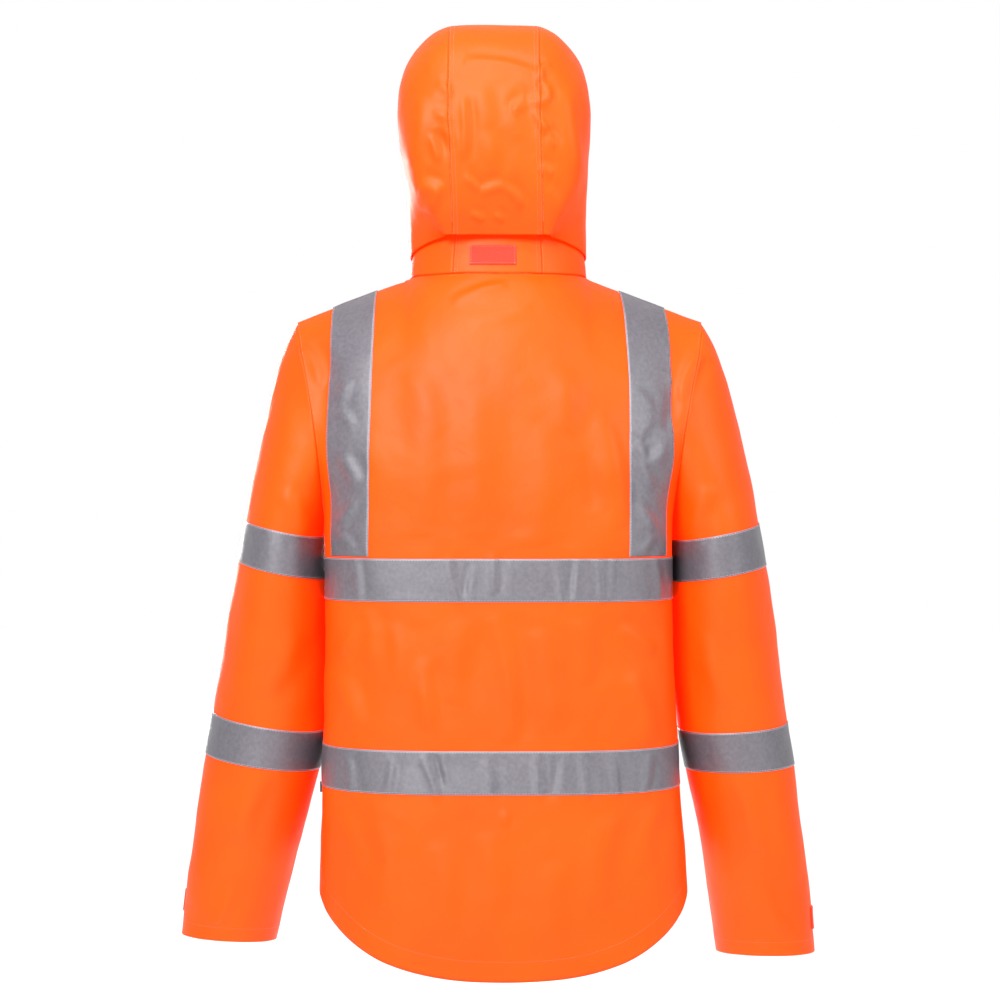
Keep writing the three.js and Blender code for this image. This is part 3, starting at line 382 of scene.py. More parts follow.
def on_rim(face, wall):
    """Whether a triangle goes through the wall, by an edge as long as the wall is thick."""
    return any(abs(edge.calc_length() - wall) < WALL_ERROR for edge in face.edges)


def outer_sheet(node, middle, wall):
    """The outer face of a CAD wall, as a bmesh of squares."""
    form = bmesh.new()
    form.from_mesh(nodes[node].data)
    bmesh.ops.remove_doubles(form, verts=form.verts, dist=SAME_POINT)
    form.normal_update()
    rims = [face for face in form.faces if on_rim(face, wall)]
    bmesh.ops.delete(form, geom=rims, context="FACES")
    left = set(form.faces)
    sides = []
    while left:
        waiting = [left.pop()]
        side = []
        while waiting:
            face = waiting.pop()
            side.append(face)
            fresh = {other for edge in face.edges for other in edge.link_faces} & left
            left -= fresh
            waiting.extend(fresh)
        sides.append(side)

    def looks_out(side):
        ways = [(face.calc_center_median() - middle).dot(face.normal) * face.calc_area() for face in side]
        return sum(ways)

    outer = set(max(sides, key=looks_out))
    inner = [face for face in form.faces if face not in outer]
    bmesh.ops.delete(form, geom=inner, context="FACES")
    bmesh.ops.join_triangles(form, faces=form.faces, angle_face_threshold=math.pi,
                             angle_shape_threshold=math.pi)
    return form


def dense_sheet(form, levels):
    """The sheet after a Subdivision Surface that keeps its corners, as a mesh."""
    carrier = new_object("sheet", mesh_of(form, "sheet"))
    smooth = carrier.modifiers.new("smooth", "SUBSURF")
    smooth.levels = levels
    smooth.render_levels = levels
    smooth.boundary_smooth = "PRESERVE_CORNERS"
    graph = bpy.context.evaluated_depsgraph_get()
    dense = bpy.data.meshes.new_from_object(carrier.evaluated_get(graph), depsgraph=graph)
    bpy.data.objects.remove(carrier)
    return dense


# %% [markdown]
# ## Creases
#
# Worn cloth has long soft folds and short creases at the seams. Each one here is a line on the
# jacket as it is seen from behind or from the front, with a bend, a width and a height. The cloth
# near the line is moved out, or in where the height is negative, and a shallower trough beside it
# gives the crease its lit side and its dark side. CREASE_DEPTH multiplies all heights of the tables.

# %% Tables of creases
# x0, z0, x1, z1: ends of the line, bend: how far its middle is moved aside, width and height, in mm
BACK_CREASES = [
    (218, -77, 194, -125, 4, 9, 2.2),
    (-229, -85, -203, -140, -4, 9, 2.2),
    (-196, -120, -188, -175, 3, 8, -1.6),
    (-151, -187, -170, -212, 0, 6, 1.4),
    (-170, -212, -185, -190, 0, 6, 1.4),
    (-153, -208, -172, -234, 0, 6, 1.3),
    (170, -200, 150, -234, 2, 7, 1.6),
    (-114, -159, -134, -281, 6, 12, 1.8),
    (-96, -200, -104, -262, 3, 9, -1.2),
    (139, -369, 137, -430, 2, 10, 1.6),
    (79, -423, 69, -498, -3, 10, 1.8),
    (1, -375, -16, -511, 6, 11, 2.2),
    (-134, -390, -174, -417, 2, 8, 1.8),
    (-12, -586, -8, -600, 0, 5, 1.2),
    (48, -34, -12, -14, 3, 6, 1.4),
    (30, -52, -40, -40, -4, 9, 1.0),
    (110, -96, 60, -180, 8, 16, 1.0),
    (-60, -90, -92, -150, -6, 14, 1.0),
    (170, -590, 150, -660, 5, 13, 1.6),
    (-176, -585, -160, -655, -5, 13, 1.6),
    (60, -620, 54, -720, 4, 14, 1.3),
    (-70, -640, -62, -730, -4, 14, 1.2),
    (228, -395, 262, -470, 6, 12, 1.6),
    (262, -560, 290, -640, -5, 12, 1.6),
    (-236, -400, -262, -480, -6, 12, 1.6),
    (-270, -565, -296, -650, 5, 12, 1.6),
    (300, -690, 322, -735, 3, 8, 1.2),
    (154, -312, 150, -364, 2, 5, 1.0),
    (52, -312, 38, -364, -2, 5, 1.1),
    (30, -318, 36, -356, 1, 4, -0.8),
    (3, -308, 2, -352, 1, 4, 1.3),
    (-65, -316, -72, -364, 2, 5, 1.0),
    (-84, -312, -80, -358, -1, 4, -0.9),
    (-110, -310, -114, -364, 2, 5, 1.1),
    (-128, -312, -126, -360, -1, 4, 0.9),
    (-174, -314, -180, -362, 2, 5, 1.2),
    (163, -526, 158, -576, 2, 5, 1.1),
    (112, -528, 120, -572, 2, 5, 0.8),
    (80, -526, 62, -576, 2, 5, 1.3),
    (66, -524, 58, -560, 1, 4, -0.9),
    (12, -530, 4, -574, 2, 6, 0.8),
    (-42, -526, -46, -576, 2, 5, 1.1),
    (-66, -528, -60, -574, 1, 5, -0.8),
    (-92, -526, -98, -576, 2, 5, 1.1),
    (-124, -526, -130, -574, 2, 5, 1.2),
    (-168, -528, -160, -574, 2, 5, 1.0),
    (160, -120, 174, -140, 1, 6, 1.1),
    (174, -150, 154, -172, 1, 6, 1.0),
    (152, -250, 172, -276, 1, 6, 1.2),
    (172, -286, 154, -306, 1, 5, 1.0),
    (-150, -130, -172, -150, 1, 6, 1.1),
    (-172, -160, -152, -180, 1, 6, 1.0),
    (-154, -256, -174, -282, 1, 6, 1.2),
    (-172, -290, -156, -308, 1, 5, 1.0),
    (150, -384, 172, -420, 2, 9, 1.4),
    (174, -440, 152, -500, 4, 11, 1.6),
    (112, -384, 104, -460, 4, 14, 1.4),
    (36, -380, 44, -470, -4, 14, 1.3),
    (-48, -390, -60, -500, 5, 14, 1.5),
    (-92, -380, -96, -450, 4, 12, 1.4),
    (-146, -440, -166, -520, 5, 12, 1.6),
    (128, -600, 118, -700, 5, 15, 1.6),
    (10, -610, 2, -700, 4, 15, 1.3),
    (-120, -596, -112, -690, -5, 15, 1.6),
    (90, -110, 84, -290, 10, 20, 1.6),
    (20, -130, 12, -290, -8, 22, 1.4),
    (-50, -170, -44, -300, 8, 20, 1.5),
    (-90, -110, -74, -180, -6, 16, 1.2),
    (-306, -690, -330, -745, -3, 8, 1.2),
    (236, -240, 214, -290, 4, 10, 1.8),
    (-240, -236, -216, -292, -4, 10, 1.8),
]
HOOD_CREASES = [
    (35, 227, -41, 214, 4, 6, 1.8),
    (36, 188, 35, 121, 2, 6, 1.8),
    (70, 146, 62, 117, 0, 5, 1.6),
    (-43, 217, -60, 181, 2, 5, 1.6),
    (-39, 173, -64, 131, 2, 5, 1.8),
    (17, 84, -10, 92, 2, 5, 1.5),
    (-10, 92, -29, 70, 2, 5, 1.5),
    (82, 190, 92, 120, 5, 10, 1.4),
    (-80, 200, -92, 110, -5, 10, 1.4),
    (60, 96, 74, 66, 2, 7, 1.2),
    (-58, 92, -76, 64, -2, 7, 1.2),
    (10, 150, 4, 104, 3, 9, 1.0),
    (-18, 168, -34, 181, 2, 6, 1.8),
    (-34, 181, -60, 187, -2, 6, 1.6),
    (-46, 214, -60, 224, 1, 5, 1.6),
    (-44, 200, -58, 206, 1, 5, -1.5),
    (64, 202, 48, 188, 2, 5, 1.6),
    (68, 170, 50, 160, 2, 5, 1.5),
    (66, 150, 52, 128, 2, 6, -1.5),
    (84, 92, 60, 84, 3, 7, 1.6),
    (34, 102, 18, 86, 1, 4, 1.4),
    (28, 64, 13, 56, 1, 4, 1.2),
    (2, 63, -8, 55, 1, 4, 1.2),
    (-46, 112, -62, 104, 1, 5, 1.3),
    (-50, 142, -66, 150, 2, 5, -1.3),
    (22, 200, 10, 150, 5, 12, 1.1),
    (-14, 200, -26, 140, -4, 12, 1.1),
]
FRONT_CREASES = [
    (212, -84, 186, -140, 4, 9, 2.0),
    (-216, -88, -190, -146, -4, 9, 2.0),
    (120, -150, 104, -262, 6, 13, 1.6),
    (-126, -140, -108, -258, -6, 13, 1.6),
    (60, -380, 52, -500, 5, 12, 1.8),
    (-72, -378, -58, -492, -5, 12, 1.8),
    (150, -390, 166, -470, 4, 11, 1.5),
    (-148, -396, -168, -462, -4, 11, 1.5),
    (40, -590, 48, -660, 3, 12, 1.4),
    (-54, -588, -44, -664, -3, 12, 1.4),
    (232, -400, 266, -476, 6, 12, 1.6),
    (-240, -398, -272, -484, -6, 12, 1.6),
    (266, -566, 294, -646, -5, 12, 1.6),
    (-272, -570, -300, -652, 5, 12, 1.6),
    (60, 220, 84, 150, 4, 9, 1.2),
    (-62, 222, -86, 146, -4, 9, 1.2),
]
TROUGH = 0.55
TROUGH_OFF = 1.5
FACING_SIDE = 0.35
FACING_GAIN = 1.4
CREASE_DEPTH = 1.9
# size of each kind of unevenness, and the width of its grains
RIPPLES = [(1.6 * MM, 62 * MM), (0.5 * MM, 21 * MM)]

# How much fuller a sleeve is on the side of the body, at heights from the elbow up, in mm
SLEEVE_FROM = 200 * MM
FULL_LEVELS = [-600, -520, -460, -400, -330, -290, -255]
FULL_HEIGHTS = [0, 2.2, 3.4, 3.0, 2.4, 2.0, 0]


def crease_heights(places, facing, table):
    """How far each point is moved out by the creases that are seen from one side."""
    heights = np.zeros(len(places))
    for x0, z0, x1, z1, bend, width, height in table:
        start = np.array([x0, z0]) * MM
        run = np.array([x1, z1]) * MM - start
        length = np.hypot(*run)
        off = places[:, [0, 2]] - start
        along = off @ run / length ** 2
        taper = np.clip(4 * along * (1 - along), 0, 1)
        aside = (off[:, 0] * run[1] - off[:, 1] * run[0]) / length - bend * MM * taper
        ridge = np.exp(-(aside / (width * MM)) ** 2)
        trough = np.exp(-(aside / (width * MM) - TROUGH_OFF) ** 2)
        heights += CREASE_DEPTH * height * MM * np.sqrt(taper) * (ridge - TROUGH * trough)
    return heights * np.clip(facing * FACING_GAIN + FACING_SIDE, 0, 1)


def all_heights(places, normals, back_table):
    """The height of the creases and of the slight unevenness of all cloth at each point."""
    heights = crease_heights(places, normals[:, 1], back_table)
    heights += crease_heights(places, -normals[:, 1], FRONT_CREASES)
    if abs(places[:, 0].mean()) > SLEEVE_FROM:
        inwards = np.clip(-normals[:, 0] * np.sign(places[:, 0]), 0, 1)
        heights += inwards * np.interp(places[:, 2] / MM, FULL_LEVELS, FULL_HEIGHTS) * MM
    for size, grain in RIPPLES:
        heights += size * np.array([noise.noise(Vector(place) / grain) for place in places])
    return heights


def crease_sheet(mesh, back_table):
    """Moves a sheet's points out and in for its creases."""
    places = np.array([list(point.co) for point in mesh.vertices])
    normals = np.array([list(point.normal) for point in mesh.vertices])
    moved = places + normals * all_heights(places, normals, back_table)[:, None]
    mesh.vertices.foreach_set("co", moved.ravel())
    mesh.update()


# %% [markdown]
# ## The panels
#
# The jacket has three body panels, two sleeves, a stand collar in three parts and a hood in three.
# Each becomes one sheet, creased, and then given its thickness by a Solidify modifier that grows
# inwards, so that the outer face stays where the solid's was. The table also says what is sewn on it.

# %% Which sheets there are
CLOTH = 0.9 * MM
BODY_MIDDLE = Vector((0, -0.01, -0.42))
SHEETS = {
    "back": {"middle": BODY_MIDDLE, "levels": 3, "tapes": [
        "tape_back_upper", "tape_back_lower", "tape_brace_back_left", "tape_brace_back_right"]},
    "front_left": {"middle": BODY_MIDDLE, "levels": 2, "tapes": [
        "tape_front_upper_left", "tape_front_lower_left", "tape_brace_front_left"]},
    "front_right": {"middle": BODY_MIDDLE, "levels": 2, "tapes": [
        "tape_front_upper_right", "tape_front_lower_right", "tape_brace_front_right"]},
    "sleeve_left": {"middle": Vector((0.268, -0.04, -0.42)), "levels": 3, "tapes": [
        "tape_sleeve_left_upper", "tape_sleeve_left_lower", "cuff_tab_left"]},
    "sleeve_right": {"middle": Vector((-0.268, -0.04, -0.42)), "levels": 3, "tapes": [
        "tape_sleeve_right_upper", "tape_sleeve_right_lower", "cuff_tab_right"]},
    "collar_centre": {"middle": Vector((0, 0, 0)), "levels": 3, "tapes": ["loop_patch"]},
    "collar_left": {"middle": Vector((0, 0, 0)), "levels": 3, "tapes": []},
    "collar_right": {"middle": Vector((0, 0, 0)), "levels": 3, "tapes": []},
    "hood_centre": {"middle": Vector((0, -0.01, 0.15)), "levels": 3, "tapes": []},
    "hood_side_left": {"middle": Vector((0, -0.01, 0.15)), "levels": 3, "tapes": []},
    "hood_side_right": {"middle": Vector((0, -0.01, 0.15)), "levels": 3, "tapes": []},
}


def smooth_shaded(mesh):
    mesh.polygons.foreach_set("use_smooth", [True] * len(mesh.polygons))
    mesh.update()


def area_of(mesh):
    return sum(face.area for face in mesh.polygons)


def thicken(piece, thickness, outwards=False):
    """Gives a sheet its thickness, on its inner side unless it grows outwards."""
    wall = piece.modifiers.new("thickness", "SOLIDIFY")
    wall.thickness = thickness
    wall.offset = 1 if outwards else -1


# %% [markdown]
# A tape, a patch or a tab is laid on its panel before the creases are made. Each of its points is set
# down on the smooth sheet and then raised as the cloth below it is, so it has every crease and never
# sinks in. A tape's edges are drawn in by a hair, and those of the braces are let out by a hair, for
# so they look in the picture.

# %% Strips on the panels
STRIP_LIFT = 0.35 * MM
STRIP_KINDS = {
    "tape": {"wall": 1.0 * MM, "trim": 1.4 * MM, "thickness": 0.5 * MM, "finish": reflective_tape,
             "slot": "reflective_tape"},
    "loop": {"wall": 1.4 * MM, "trim": 0, "thickness": 1.2 * MM, "finish": loop_tape, "slot": "hook_loop"},
    "cuff": {"wall": 2.0 * MM, "trim": 0, "thickness": 1.5 * MM, "finish": loop_tape, "slot": "hook_loop"},
}
BRACE_TRIM = -1.0 * MM
CORNER = math.radians(40)


def kind_of(strip):
    return STRIP_KINDS[strip.split("_")[0]]


def open_edges(mesh):
    """The edges that only one face of a sheet has, as pairs of point numbers."""
    used = {}
    for face in mesh.polygons:
        for key in face.edge_keys:
            used[key] = used.get(key, 0) + 1
    return [key for key, count in used.items() if count == 1]


def edge_runs(mesh):
    """The open edges of a sheet as rows of points, cut at its corners. A ring stays closed."""
    ways = {}
    for a, b in open_edges(mesh):
        ways.setdefault(a, []).append(b)
        ways.setdefault(b, []).append(a)
    place = [point.co for point in mesh.vertices]

    def is_corner(point):
        before, after = ways[point]
        turn = (place[point] - place[before]).angle(place[after] - place[point])
        return turn > CORNER

    runs = []
    left = set(ways)
    corners = [point for point in ways if is_corner(point)]
    for start in corners + list(ways):
        for step in ways[start] if start in corners else ways[start][:1]:
            if step not in left or (start not in left and start not in corners):
                continue
            run = [start]
            point = step
            while point != start and point not in corners:
                run.append(point)
                point = [way for way in ways[point] if way != run[-2]][0]
            run.append(point)
            left.difference_update(run)
            runs.append([place[index].copy() for index in run])
    return runs


def surface_of(mesh):
    """A mesh as a surface that can be asked for its nearest point."""
    return BVHTree.FromPolygons([point.co for point in mesh.vertices],
                                [list(face.vertices) for face in mesh.polygons])


def row_finder(run):
    """A function that finds the point of a row that is nearest to a place."""
    tree = kdtree.KDTree(len(run) - 1)
    for index, (start, end) in enumerate(zip(run, run[1:])):
        tree.insert((start + end) / 2, index)
    tree.balance()

    def nearest(place):
        spots = []
        for _, index, _ in tree.find_n(place, 3):
            start, end = run[index], run[index + 1]
            share = (place - start).dot(end - start) / (end - start).length_squared
            spots.append(start.lerp(end, max(0, min(1, share))))
        return min(spots, key=lambda spot: (spot - place).length)

    return nearest


def strip_sheet(strip, middle, levels, panel, back_table):
    """A strip as a mesh that lies on its panel's smooth sheet, with the panel's creases."""
    kind = kind_of(strip)
    trim = BRACE_TRIM if "brace" in strip else kind["trim"]
    mesh = dense_sheet(outer_sheet(strip, middle, kind["wall"]), levels)
    first, second = [row_finder(run) for run in sorted(edge_runs(mesh), key=len)[-2:]]
    surface = surface_of(panel)
    places, normals, from_edge = [], [], []
    for point in mesh.vertices:
        near, far = first(point.co), second(point.co)
        to_near, to_far = (near - point.co).length, (far - point.co).length
        share = to_near / max(to_near + to_far, SAME_POINT)
        shift = (far - near).normalized() * trim * (1 - 2 * share)
        spot, _, index, _ = surface.find_nearest(point.co + shift)
        corners = [panel.vertices[corner] for corner in panel.polygons[index].vertices]
        weights = poly_3d_calc([corner.co for corner in corners], spot)
        up = sum((corner.normal * weight for corner, weight in zip(corners, weights)), Vector())
        places.append(list(spot))
        normals.append(list(up.normalized()))
        from_edge.append(min(to_near, to_far))
    places, normals = np.array(places), np.array(normals)
    heights = all_heights(places, normals, back_table) + STRIP_LIFT
    mesh.vertices.foreach_set("co", (places + normals * heights[:, None]).ravel())
    mesh.attributes.new("edge_distance", "FLOAT", "POINT").data.foreach_set("value", from_edge)
    smooth_shaded(mesh)
    return mesh


# %% Make the sheets
sheets = {}
strip_meshes = {}
for name, plan in SHEETS.items():
    table = HOOD_CREASES if name.startswith("hood") else BACK_CREASES
    dense = dense_sheet(outer_sheet(name, plan["middle"], PANEL_WALL), plan["levels"])
    for strip in plan["tapes"]:
        strip_meshes[strip] = strip_sheet(strip, plan["middle"], plan["levels"], dense, table)
        print("  ", strip, len(strip_meshes[strip].polygons), "squares")
    crease_sheet(dense, table)
    smooth_shaded(dense)
    sheets[name] = dense
    print(name, len(dense.polygons), "squares,", round(area_of(dense), 4), "m2")

# %% [markdown]
# The solids stand a hair apart at their seams, and light would fall through. A sewn seam is shut and
# lies a little lower than the cloth beside it. So each point on the rim of a sheet is moved half-way
# to the sheet that it is sewn to, and sunk. The hem, the cuffs and the face edge have no such
# neighbour and stay. The table also gives the rows of stitches beside each seam, for later.

# %% Close the seams
SEAM_REACH = 5 * MM
SEAM_DEPTH = 0.45 * MM
RIM_STEPS = 8
SEAMS = [
    ("hood_centre", "hood_side_left", (2, 6)),
    ("hood_centre", "hood_side_right", (2, 6)),
    ("collar_centre", "collar_left", (2, 6)),
    ("collar_centre", "collar_right", (2, 6)),
    ("back", "collar_centre", (2.5,)),
    ("back", "collar_left", (2.5,)),
    ("back", "collar_right", (2.5,)),
    ("front_left", "collar_left", (2.5,)),
    ("front_right", "collar_right", (2.5,)),
    ("back", "front_left", (2.5,)),
    ("back", "front_right", (2.5,)),
    ("back", "sleeve_left", (2.5,)),
    ("back", "sleeve_right", (2.5,)),
    ("front_left", "sleeve_left", (2.5,)),
    ("front_right", "sleeve_right", (2.5,)),
]


def rim_tree(mesh):
    """A search tree of points set closely along the rim of a sheet, and the way up at each edge."""
    edges = open_edges(mesh)
    tree = kdtree.KDTree(len(edges) * RIM_STEPS)
    ups = []
    for index, (a, b) in enumerate(edges):
        start, end = mesh.vertices[a], mesh.vertices[b]
        ups.append(start.normal + end.normal)
        for step in range(RIM_STEPS):
            tree.insert(start.co.lerp(end.co, (step + 0.5) / RIM_STEPS), index * RIM_STEPS + step)
    tree.balance()
    return tree, ups


rims = {name: rim_tree(mesh) for name, mesh in sheets.items()}
partners = {name: [] for name in sheets}
for first, second, _ in SEAMS:
    partners[first].append(second)
    partners[second].append(first)

closed = 0
widest = 0
for name, mesh in sheets.items():
    for number in sorted({end for edge in open_edges(mesh) for end in edge}):
        point = mesh.vertices[number]
        found = [(*rims[partner][0].find(point.co), rims[partner][1]) for partner in partners[name]]
        nearest, index, gap, ups = min(found, key=lambda each: each[2])
        if gap < SEAM_REACH:
            up = (point.normal + ups[index // RIM_STEPS].normalized()).normalized()
            point.co = point.co.lerp(nearest, 0.5) - up * SEAM_DEPTH
            closed += 1
            widest = max(widest, gap)
    mesh.update()
print("points at closed seams", closed, "widest gap", round(widest / MM, 2), "mm")

# %% Make the panels
for name, dense in sheets.items():
    panel = new_object("cloth_" + name, dense.copy())
    panel.data.materials.append(shell_cloth)
    thicken(panel, CLOTH)
    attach(panel, "jacket")
    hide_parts(name)

# %% Put the strips on
strips = {}
for strip, mesh in strip_meshes.items():
    kind = kind_of(strip)
    piece = new_object("strip_" + strip, mesh)
    piece.data.materials.append(kind["finish"])
    thicken(piece, kind["thickness"], outwards=True)
    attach(piece, "jacket")
    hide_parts(strip)
    strips[strip] = piece
print("strips", len(strips))

# %% [markdown]
# ## Sewing
#
# A row of stitches follows an edge at a fixed distance: beside a seam, above a hem and along both
# edges of a tape. The row is found from the edge of the sheet: each point is moved across the sheet
# and set down on it again. One small stitch is made and copied along the row.

# %% Rows of stitches
STITCH_PITCH = 3.3 * MM
STITCH_LENGTH = 2.5 * MM
STITCH_WIDTH = 0.55 * MM
STITCH_HEIGHT = 0.35 * MM


def evenly(points, pitch):
    """Points an even pitch apart along a row, and the row's direction at each."""
    steps = np.array([0.0] + [(b - a).length for a, b in zip(points, points[1:])]).cumsum()
    count = max(int(steps[-1] / pitch), 2)
    array = np.array([list(point) for point in points])
    wanted = (np.arange(count) + 0.5) * steps[-1] / count
    places = np.stack([np.interp(wanted, steps, array[:, axis]) for axis in range(3)], 1)
    ahead = np.stack([np.interp(wanted + pitch / 2, steps, array[:, axis]) for axis in range(3)], 1)
    behind = np.stack([np.interp(wanted - pitch / 2, steps, array[:, axis]) for axis in range(3)], 1)
    return places, ahead - behind


def stitch_template():
    """One stitch along X: a small round grain."""
    form = bmesh.new()
    bmesh.ops.create_uvsphere(form, u_segments=4, v_segments=3, radius=0.5)
    bmesh.ops.rotate(form, verts=form.verts, matrix=Matrix.Rotation(math.pi / 2, 3, "Y"))
    bmesh.ops.scale(form, verts=form.verts, vec=(STITCH_LENGTH, STITCH_WIDTH, STITCH_HEIGHT))
    return mesh_of(form, "stitch")


def copies(template, settings, name):
    """Copies of a small mesh as one mesh. A setting is a spot and the ways of the copy's X, Y and Z."""
    corners = np.array([list(point.co) for point in template.vertices])
    shape = [list(face.vertices) for face in template.polygons]
    points = []
    faces = []
    for spot, *ways in settings:
        turn = np.array([list(way) for way in ways])
        start = len(points)
        points.extend((corners @ turn + np.array(list(spot))).tolist())
        faces.extend([[start + corner for corner in face] for face in shape])
    mesh = bpy.data.meshes.new(name)
    mesh.from_pydata(points, [], faces)
    return mesh


stitch = stitch_template()


class Sewing:
    """Gathers stitches and makes them one piece."""

    def __init__(self, name, finish, slot):
        self.name = name
        self.finish = finish
        self.slot = slot
        self.places = []

    def sew(self, points, surface, aside, raise_by=0.0):
        """A row of stitches at a distance from an edge, set down on the surface."""
        for place, way in zip(*evenly(points, STITCH_PITCH)):
            place = Vector(place)
            along = Vector(way).normalized()
            _, up, _, _ = surface.find_nearest(place)
            inwards = up.cross(along).normalized()
            tries = []
            for side in (1, -1):
                spot, way_up, _, _ = surface.find_nearest(place + inwards * aside * side)
                tries.append(((spot - (place + inwards * aside * side)).length, spot, way_up))
            _, spot, up = min(tries, key=lambda each: each[0])
            up = up.normalized()
            along = (along - up * along.dot(up)).normalized()
            across = up.cross(along)
            self.places.append((spot + up * raise_by, along, across, up))

    def finish_piece(self):
        """All stitches as one mesh that rides on the jacket."""
        mesh = copies(stitch, self.places, self.name)
        smooth_shaded(mesh)
        piece = new_object(self.name, mesh)
        piece.data.materials.append(self.finish)
        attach(piece, "jacket")
        print(self.name, len(self.places), "stitches")


def points_near(run, others, limit):
    """The longest stretch of a run that lies near another sheet's edges."""
    tree = kdtree.KDTree(len(others))
    for index, point in enumerate(others):
        tree.insert(point, index)
    tree.balance()
    best = []
    stretch = []
    for point in run:
        if tree.find(point)[2] < limit:
            stretch.append(point)
            if len(stretch) > len(best):
                best = list(stretch)
        else:
            stretch = []
    return best


# %% [markdown]
# Two rows of stitches lie beside each seam of the hood and collar, on the middle panel. One row
# lies beside the armholes, the shoulders and the side seams, and one above the hem and cuffs, where
# the edge is turned in. The tapes are sewn along both edges with pale thread.

# %% Sew the seams and the tapes
SEAM_NEAR = 6 * MM
HEM_TURN = 22 * MM
CUFF_TURN = 16 * MM
FACE_TURN = 18 * MM
TAPE_INSET = 1.7 * MM

runs = {name: edge_runs(mesh) for name, mesh in sheets.items()}
surfaces = {name: surface_of(mesh) for name, mesh in sheets.items()}
rim_points = {name: [point for run in runs[name] for point in run] for name in sheets}

seam_sewing = Sewing("stitches_seams", orange_thread, "shell_fabric")
for name, other, rows in SEAMS:
    for run in runs[name]:
        stretch = points_near(run, rim_points[other], SEAM_NEAR)
        if len(stretch) > 3:
            for row in rows:
                seam_sewing.sew(stretch, surfaces[name], row * MM)


def lowest_run(name):
    return min(runs[name], key=lambda run: sum(point.z for point in run) / len(run))


def frontmost_run(name):
    return min(runs[name], key=lambda run: sum(point.y for point in run) / len(run))


edge_sewing = Sewing("stitches_edges", orange_thread, "shell_fabric")
for name in ("back", "front_left", "front_right"):
    edge_sewing.sew(lowest_run(name), surfaces[name], HEM_TURN)
for name in ("sleeve_left", "sleeve_right"):
    edge_sewing.sew(lowest_run(name), surfaces[name], CUFF_TURN)
for name in ("hood_centre", "hood_side_left", "hood_side_right"):
    edge_sewing.sew(frontmost_run(name), surfaces[name], FACE_TURN)

tape_sewing = Sewing("stitches_tapes", pale_thread, "reflective_tape")
patch_sewing = Sewing("stitches_patches", orange_thread, "hook_loop")
for strip, piece in strips.items():
    is_tape = strip.startswith("tape")
    mesh = piece.data
    surface = surface_of(mesh)
    long_runs = sorted(edge_runs(mesh), key=len)[-2:] if is_tape else edge_runs(mesh)
    thickness = kind_of(strip)["thickness"]
    for run in long_runs:
        sewing = tape_sewing if is_tape else patch_sewing
        sewing.sew(run, surface, TAPE_INSET, raise_by=thickness)

for sewing in (seam_sewing, edge_sewing, tape_sewing, patch_sewing):
    sewing.finish_piece()

# %% [markdown]
# ## The zip
#
# A moulded zip has square plastic teeth that pass one another on the centre line. The solid strip
# stays as the row the teeth stand on. One tooth is made, its edges bevelled, and copied up the line
# of the strip, to the left and to the right by turns.

# %% Teeth of the zip
TOOTH_PITCH = 1.5 * MM
TOOTH = Vector((4.2, 1.0, 1.05)) * MM
TOOTH_ASIDE = 0.9 * MM
TOOTH_ROUND = 0.2 * MM
TOOTH_SUNK = 0.4
SAME_LEVEL = 0.5 * MM
FRONT_FACE = 0.3 * MM
ROW_WIDTH = 5 * MM
ROW_RISE = 3 * MM
STEEPEST = 1.2


def zip_line():
    """The front centre line of the zip's strip, from the hem to the collar."""
    points = [point.co for point in nodes["zip"].data.vertices]
    rows = {}
    for point in points:
        rows.setdefault(round(point.z / SAME_LEVEL), []).append(point)
    fronts = []
    for level in sorted(rows):
        row = rows[level]
        front = min(point.y for point in row)
        shown = [point for point in row if point.y - front < FRONT_FACE]
        if max(point.x for point in shown) - min(point.x for point in shown) > ROW_WIDTH:
            fronts.append(sum(shown, Vector()) / len(shown))
    kept = [fronts[0]]
    for point in fronts[1:]:
        rise = point.z - kept[-1].z
        slope = abs(point.y - kept[-1].y) / max(rise, SAME_POINT)
        if rise > ROW_RISE and slope < STEEPEST:
            kept.append(point)
    return kept


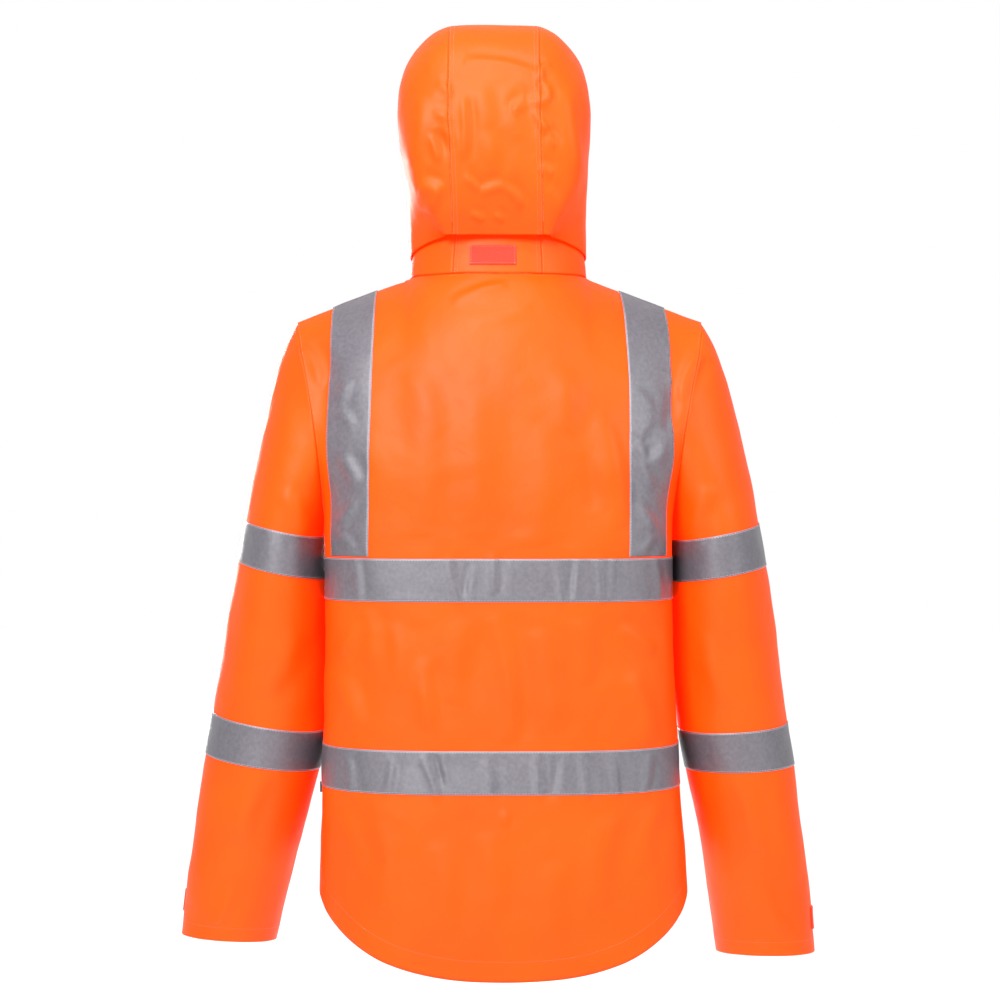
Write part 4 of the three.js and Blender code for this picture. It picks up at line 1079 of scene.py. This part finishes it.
def tooth_template():
    form = bmesh.new()
    bmesh.ops.create_cube(form, size=1)
    bmesh.ops.scale(form, verts=form.verts, vec=TOOTH)
    bmesh.ops.bevel(form, geom=list(form.edges), offset=TOOTH_ROUND, affect="EDGES", segments=1,
                    profile=0.5, material=-1)
    return mesh_of(form, "tooth")


settings = []
for index, (place, way) in enumerate(zip(*evenly(zip_line(), TOOTH_PITCH))):
    up = Vector(way).normalized()
    outwards = Vector((1, 0, 0)).cross(up).normalized()
    if outwards.y > 0:
        outwards.negate()
    side = 1 if index % 2 else -1
    spot = Vector(place) + outwards * TOOTH.y * TOOTH_SUNK + Vector((side * TOOTH_ASIDE, 0, 0))
    settings.append((spot, outwards.cross(up), outwards, up))
teeth_mesh = copies(tooth_template(), settings, "zip_teeth")
teeth_form = bmesh.new()
teeth_form.from_mesh(teeth_mesh)
bmesh.ops.recalc_face_normals(teeth_form, faces=teeth_form.faces)
teeth_form.to_mesh(teeth_mesh)
teeth_form.free()
teeth = new_object("zip_teeth", teeth_mesh)
teeth.data.materials.append(zip_plastic)
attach(teeth, "jacket")
print("teeth", len(settings))

# %% [markdown]
# ## Slider, pull and label
#
# These three are cast or folded pieces with crisp outlines. A copy of each solid is cleaned of its
# needless edges and gets a small round on every corner, which catches the light.

# %% Small pieces with rounded corners
SMALL = {
    "zip_slider": ("jacket", zip_metal, "zip_metal", 0.35 * MM),
    "zip_pull": ("pull", zip_metal, "zip_metal", 0.4 * MM),
    "side_label": ("jacket", label_cloth, "label_tape", 0.3 * MM),
}
FLAT = math.radians(2)

for name, (body, finish, slot, round_by) in SMALL.items():
    form = bmesh.new()
    form.from_mesh(nodes[name].data)
    bmesh.ops.remove_doubles(form, verts=form.verts, dist=SAME_POINT)
    bmesh.ops.dissolve_limit(form, angle_limit=FLAT, verts=form.verts, edges=form.edges)
    piece = new_object("rounded_" + name, mesh_of(form, "rounded_" + name))
    corner = piece.modifiers.new("corner", "BEVEL")
    corner.width = round_by
    corner.segments = 3
    corner.limit_method = "ANGLE"
    piece.data.materials.append(finish)
    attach(piece, body)
    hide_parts(name)

zip_strip = nodes["zip"]
zip_strip.data.materials.clear()
zip_strip.data.materials.append(zip_plastic)
print("small pieces", len(SMALL))
